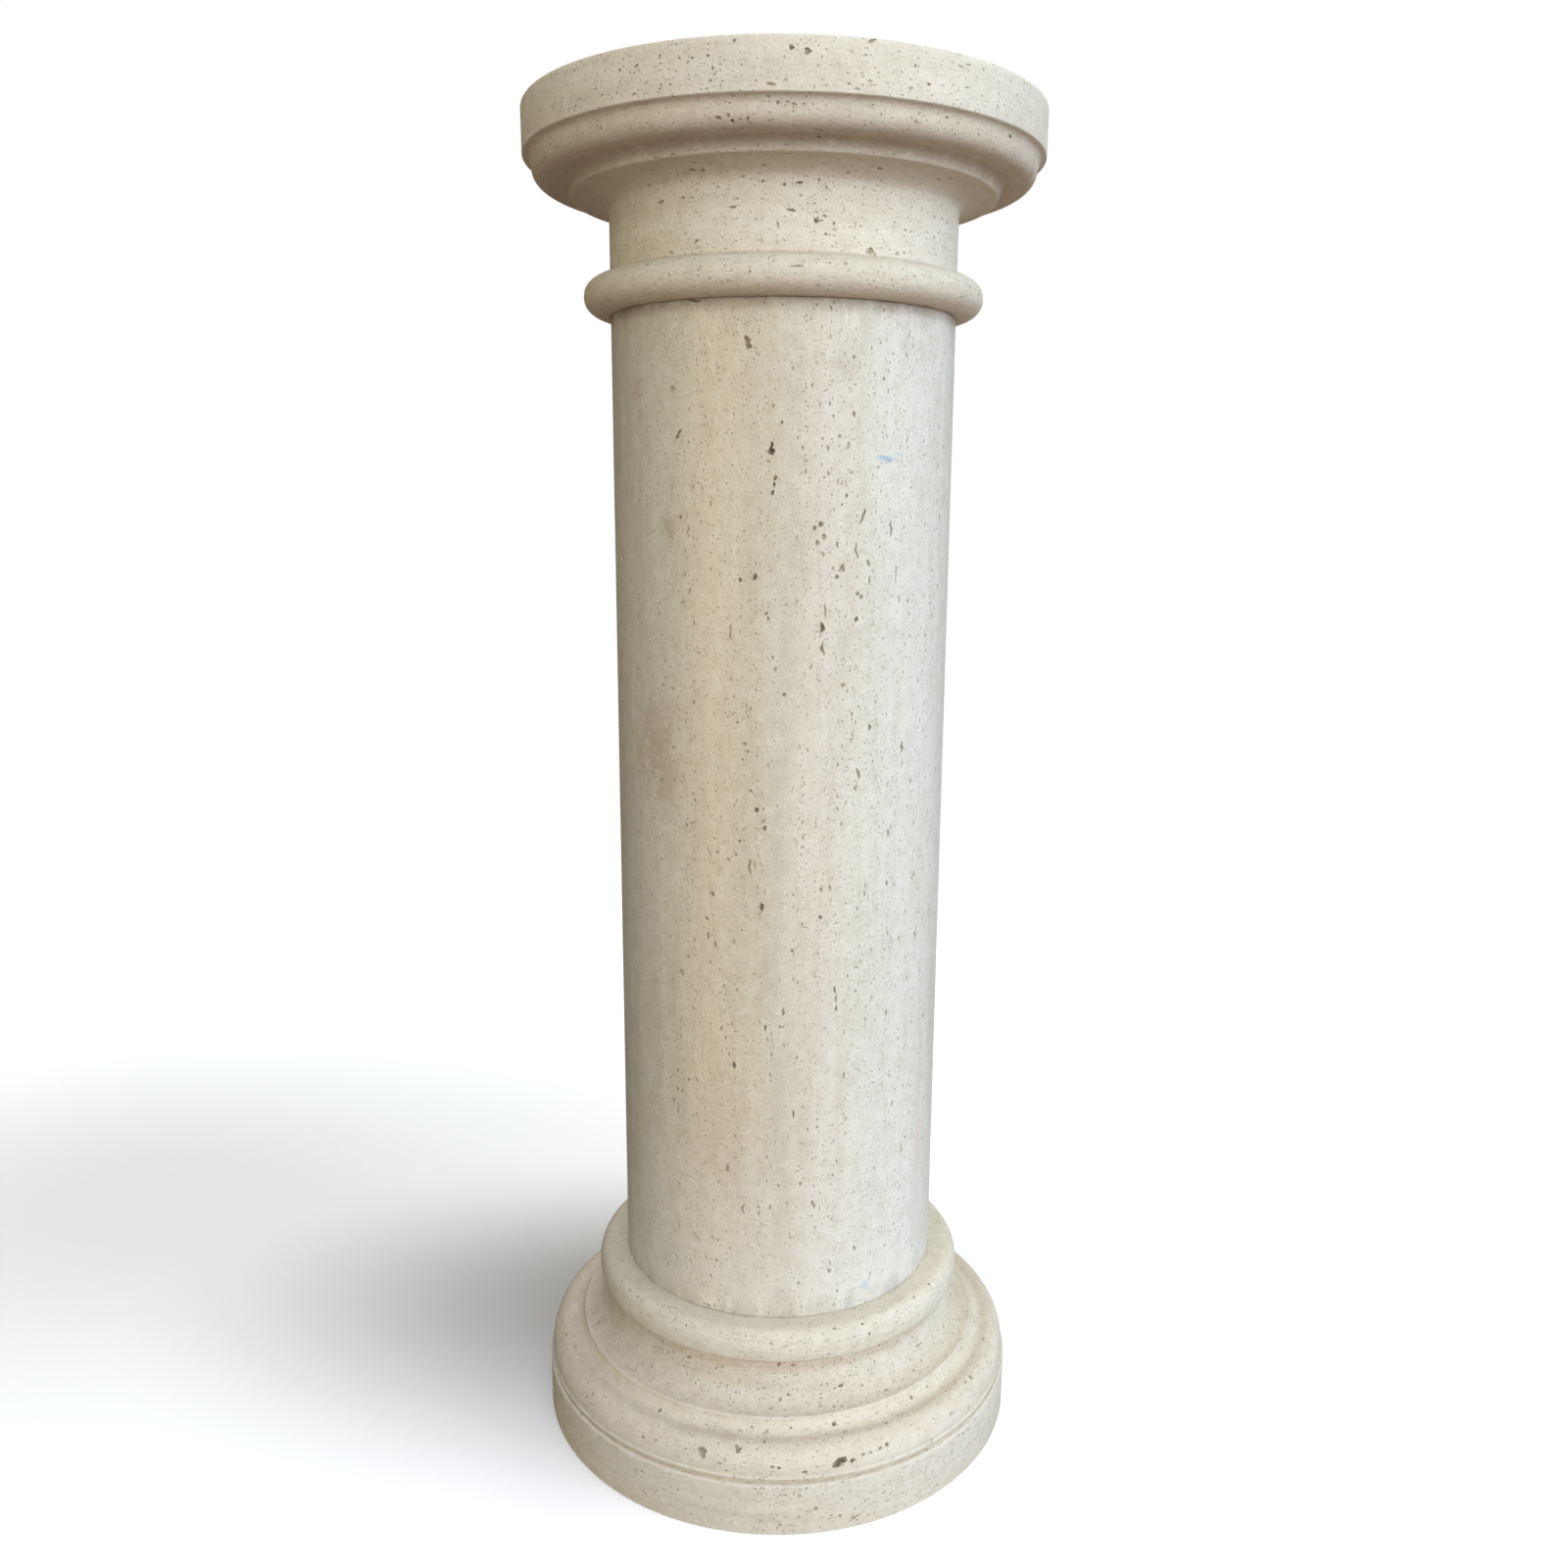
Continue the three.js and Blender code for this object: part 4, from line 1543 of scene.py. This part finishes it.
def makeFloor():
    bpy.ops.mesh.primitive_plane_add(size=studio["floorSide"])
    floor = bpy.context.object
    floor.name = "studio_floor"
    material = bpy.data.materials.new("paleFloor")
    material.use_nodes = True
    tree = material.node_tree
    tree.nodes.clear()
    place = addNode(tree, "ShaderNodeTexCoord").outputs["Object"]
    # Painted shadows: soft patches that darken the floor's seen colour and glow
    unshaded = 1.0
    for shade in studio["shades"]:
        unshaded = calculate(tree, "MULTIPLY", leftBy(tree, place, shade), unshaded)
    seenColour = scaled(tree, studio["floorSeen"][:3], unshaded)
    lit = addNode(tree, "ShaderNodeBsdfDiffuse", {"Color": seenColour})
    strength = calculate(tree, "MULTIPLY", unshaded, studio["floorGlow"])
    glow = addNode(tree, "ShaderNodeEmission", {"Color": studio["floorSeen"], "Strength": strength})
    near = addNode(tree, "ShaderNodeAddShader", {0: lit.outputs[0], 1: glow.outputs[0]})
    far = addNode(tree, "ShaderNodeEmission", {"Color": studio["floorSeen"], "Strength": 1.0})
    fade = remap(tree, vectorMath(tree, "LENGTH", place), studio["whiteFrom"], studio["whiteTo"])
    seen = addNode(tree, "ShaderNodeMixShader", {0: fade, 1: near.outputs[0], 2: far.outputs[0]})
    bounceColour = scaled(tree, studio["floorBounce"][:3], leftBy(tree, place, studio["dimSide"]))
    bounce = addNode(tree, "ShaderNodeBsdfDiffuse", {"Color": bounceColour})
    camera = addNode(tree, "ShaderNodeLightPath").outputs["Is Camera Ray"]
    both = addNode(tree, "ShaderNodeMixShader", {0: camera, 1: bounce.outputs[0], 2: seen.outputs[0]})
    tree.links.new(both.outputs[0], addNode(tree, "ShaderNodeOutputMaterial").inputs["Surface"])
    floor.data.materials.append(material)


def makeLamp(name, lamp):
    sun = bpy.data.objects.new(name, bpy.data.lights.new(name, "SUN"))
    sun.data.energy = lamp["strength"]
    sun.data.angle = math.radians(lamp["spread"])
    sun.data.color = lamp["colour"]
    turn = math.radians(lamp["turn"])
    rise = math.radians(lamp["rise"])
    towards = Vector((math.sin(turn) * math.cos(rise), -math.cos(turn) * math.cos(rise), math.sin(rise)))
    sun.rotation_euler = towards.to_track_quat("Z", "Y").to_euler()
    bpy.context.scene.collection.objects.link(sun)


# White behind the object, and no light of its own
def makeRoom():
    world = bpy.data.worlds.new("room")
    bpy.context.scene.world = world
    world.use_nodes = True
    tree = world.node_tree
    tree.nodes.clear()
    white = addNode(tree, "ShaderNodeBackground", {"Color": (1, 1, 1, 1)})
    tree.links.new(addNode(tree, "ShaderNodeLightPath").outputs["Is Camera Ray"], white.inputs["Strength"])
    tree.links.new(white.outputs[0], addNode(tree, "ShaderNodeOutputWorld").inputs["Surface"])


makeFloor()
makeRoom()
for lampName, lamp in lamps.items():
    makeLamp(lampName, lamp)
bpy.context.scene.view_settings.view_transform = "Standard"
print("studio ready")
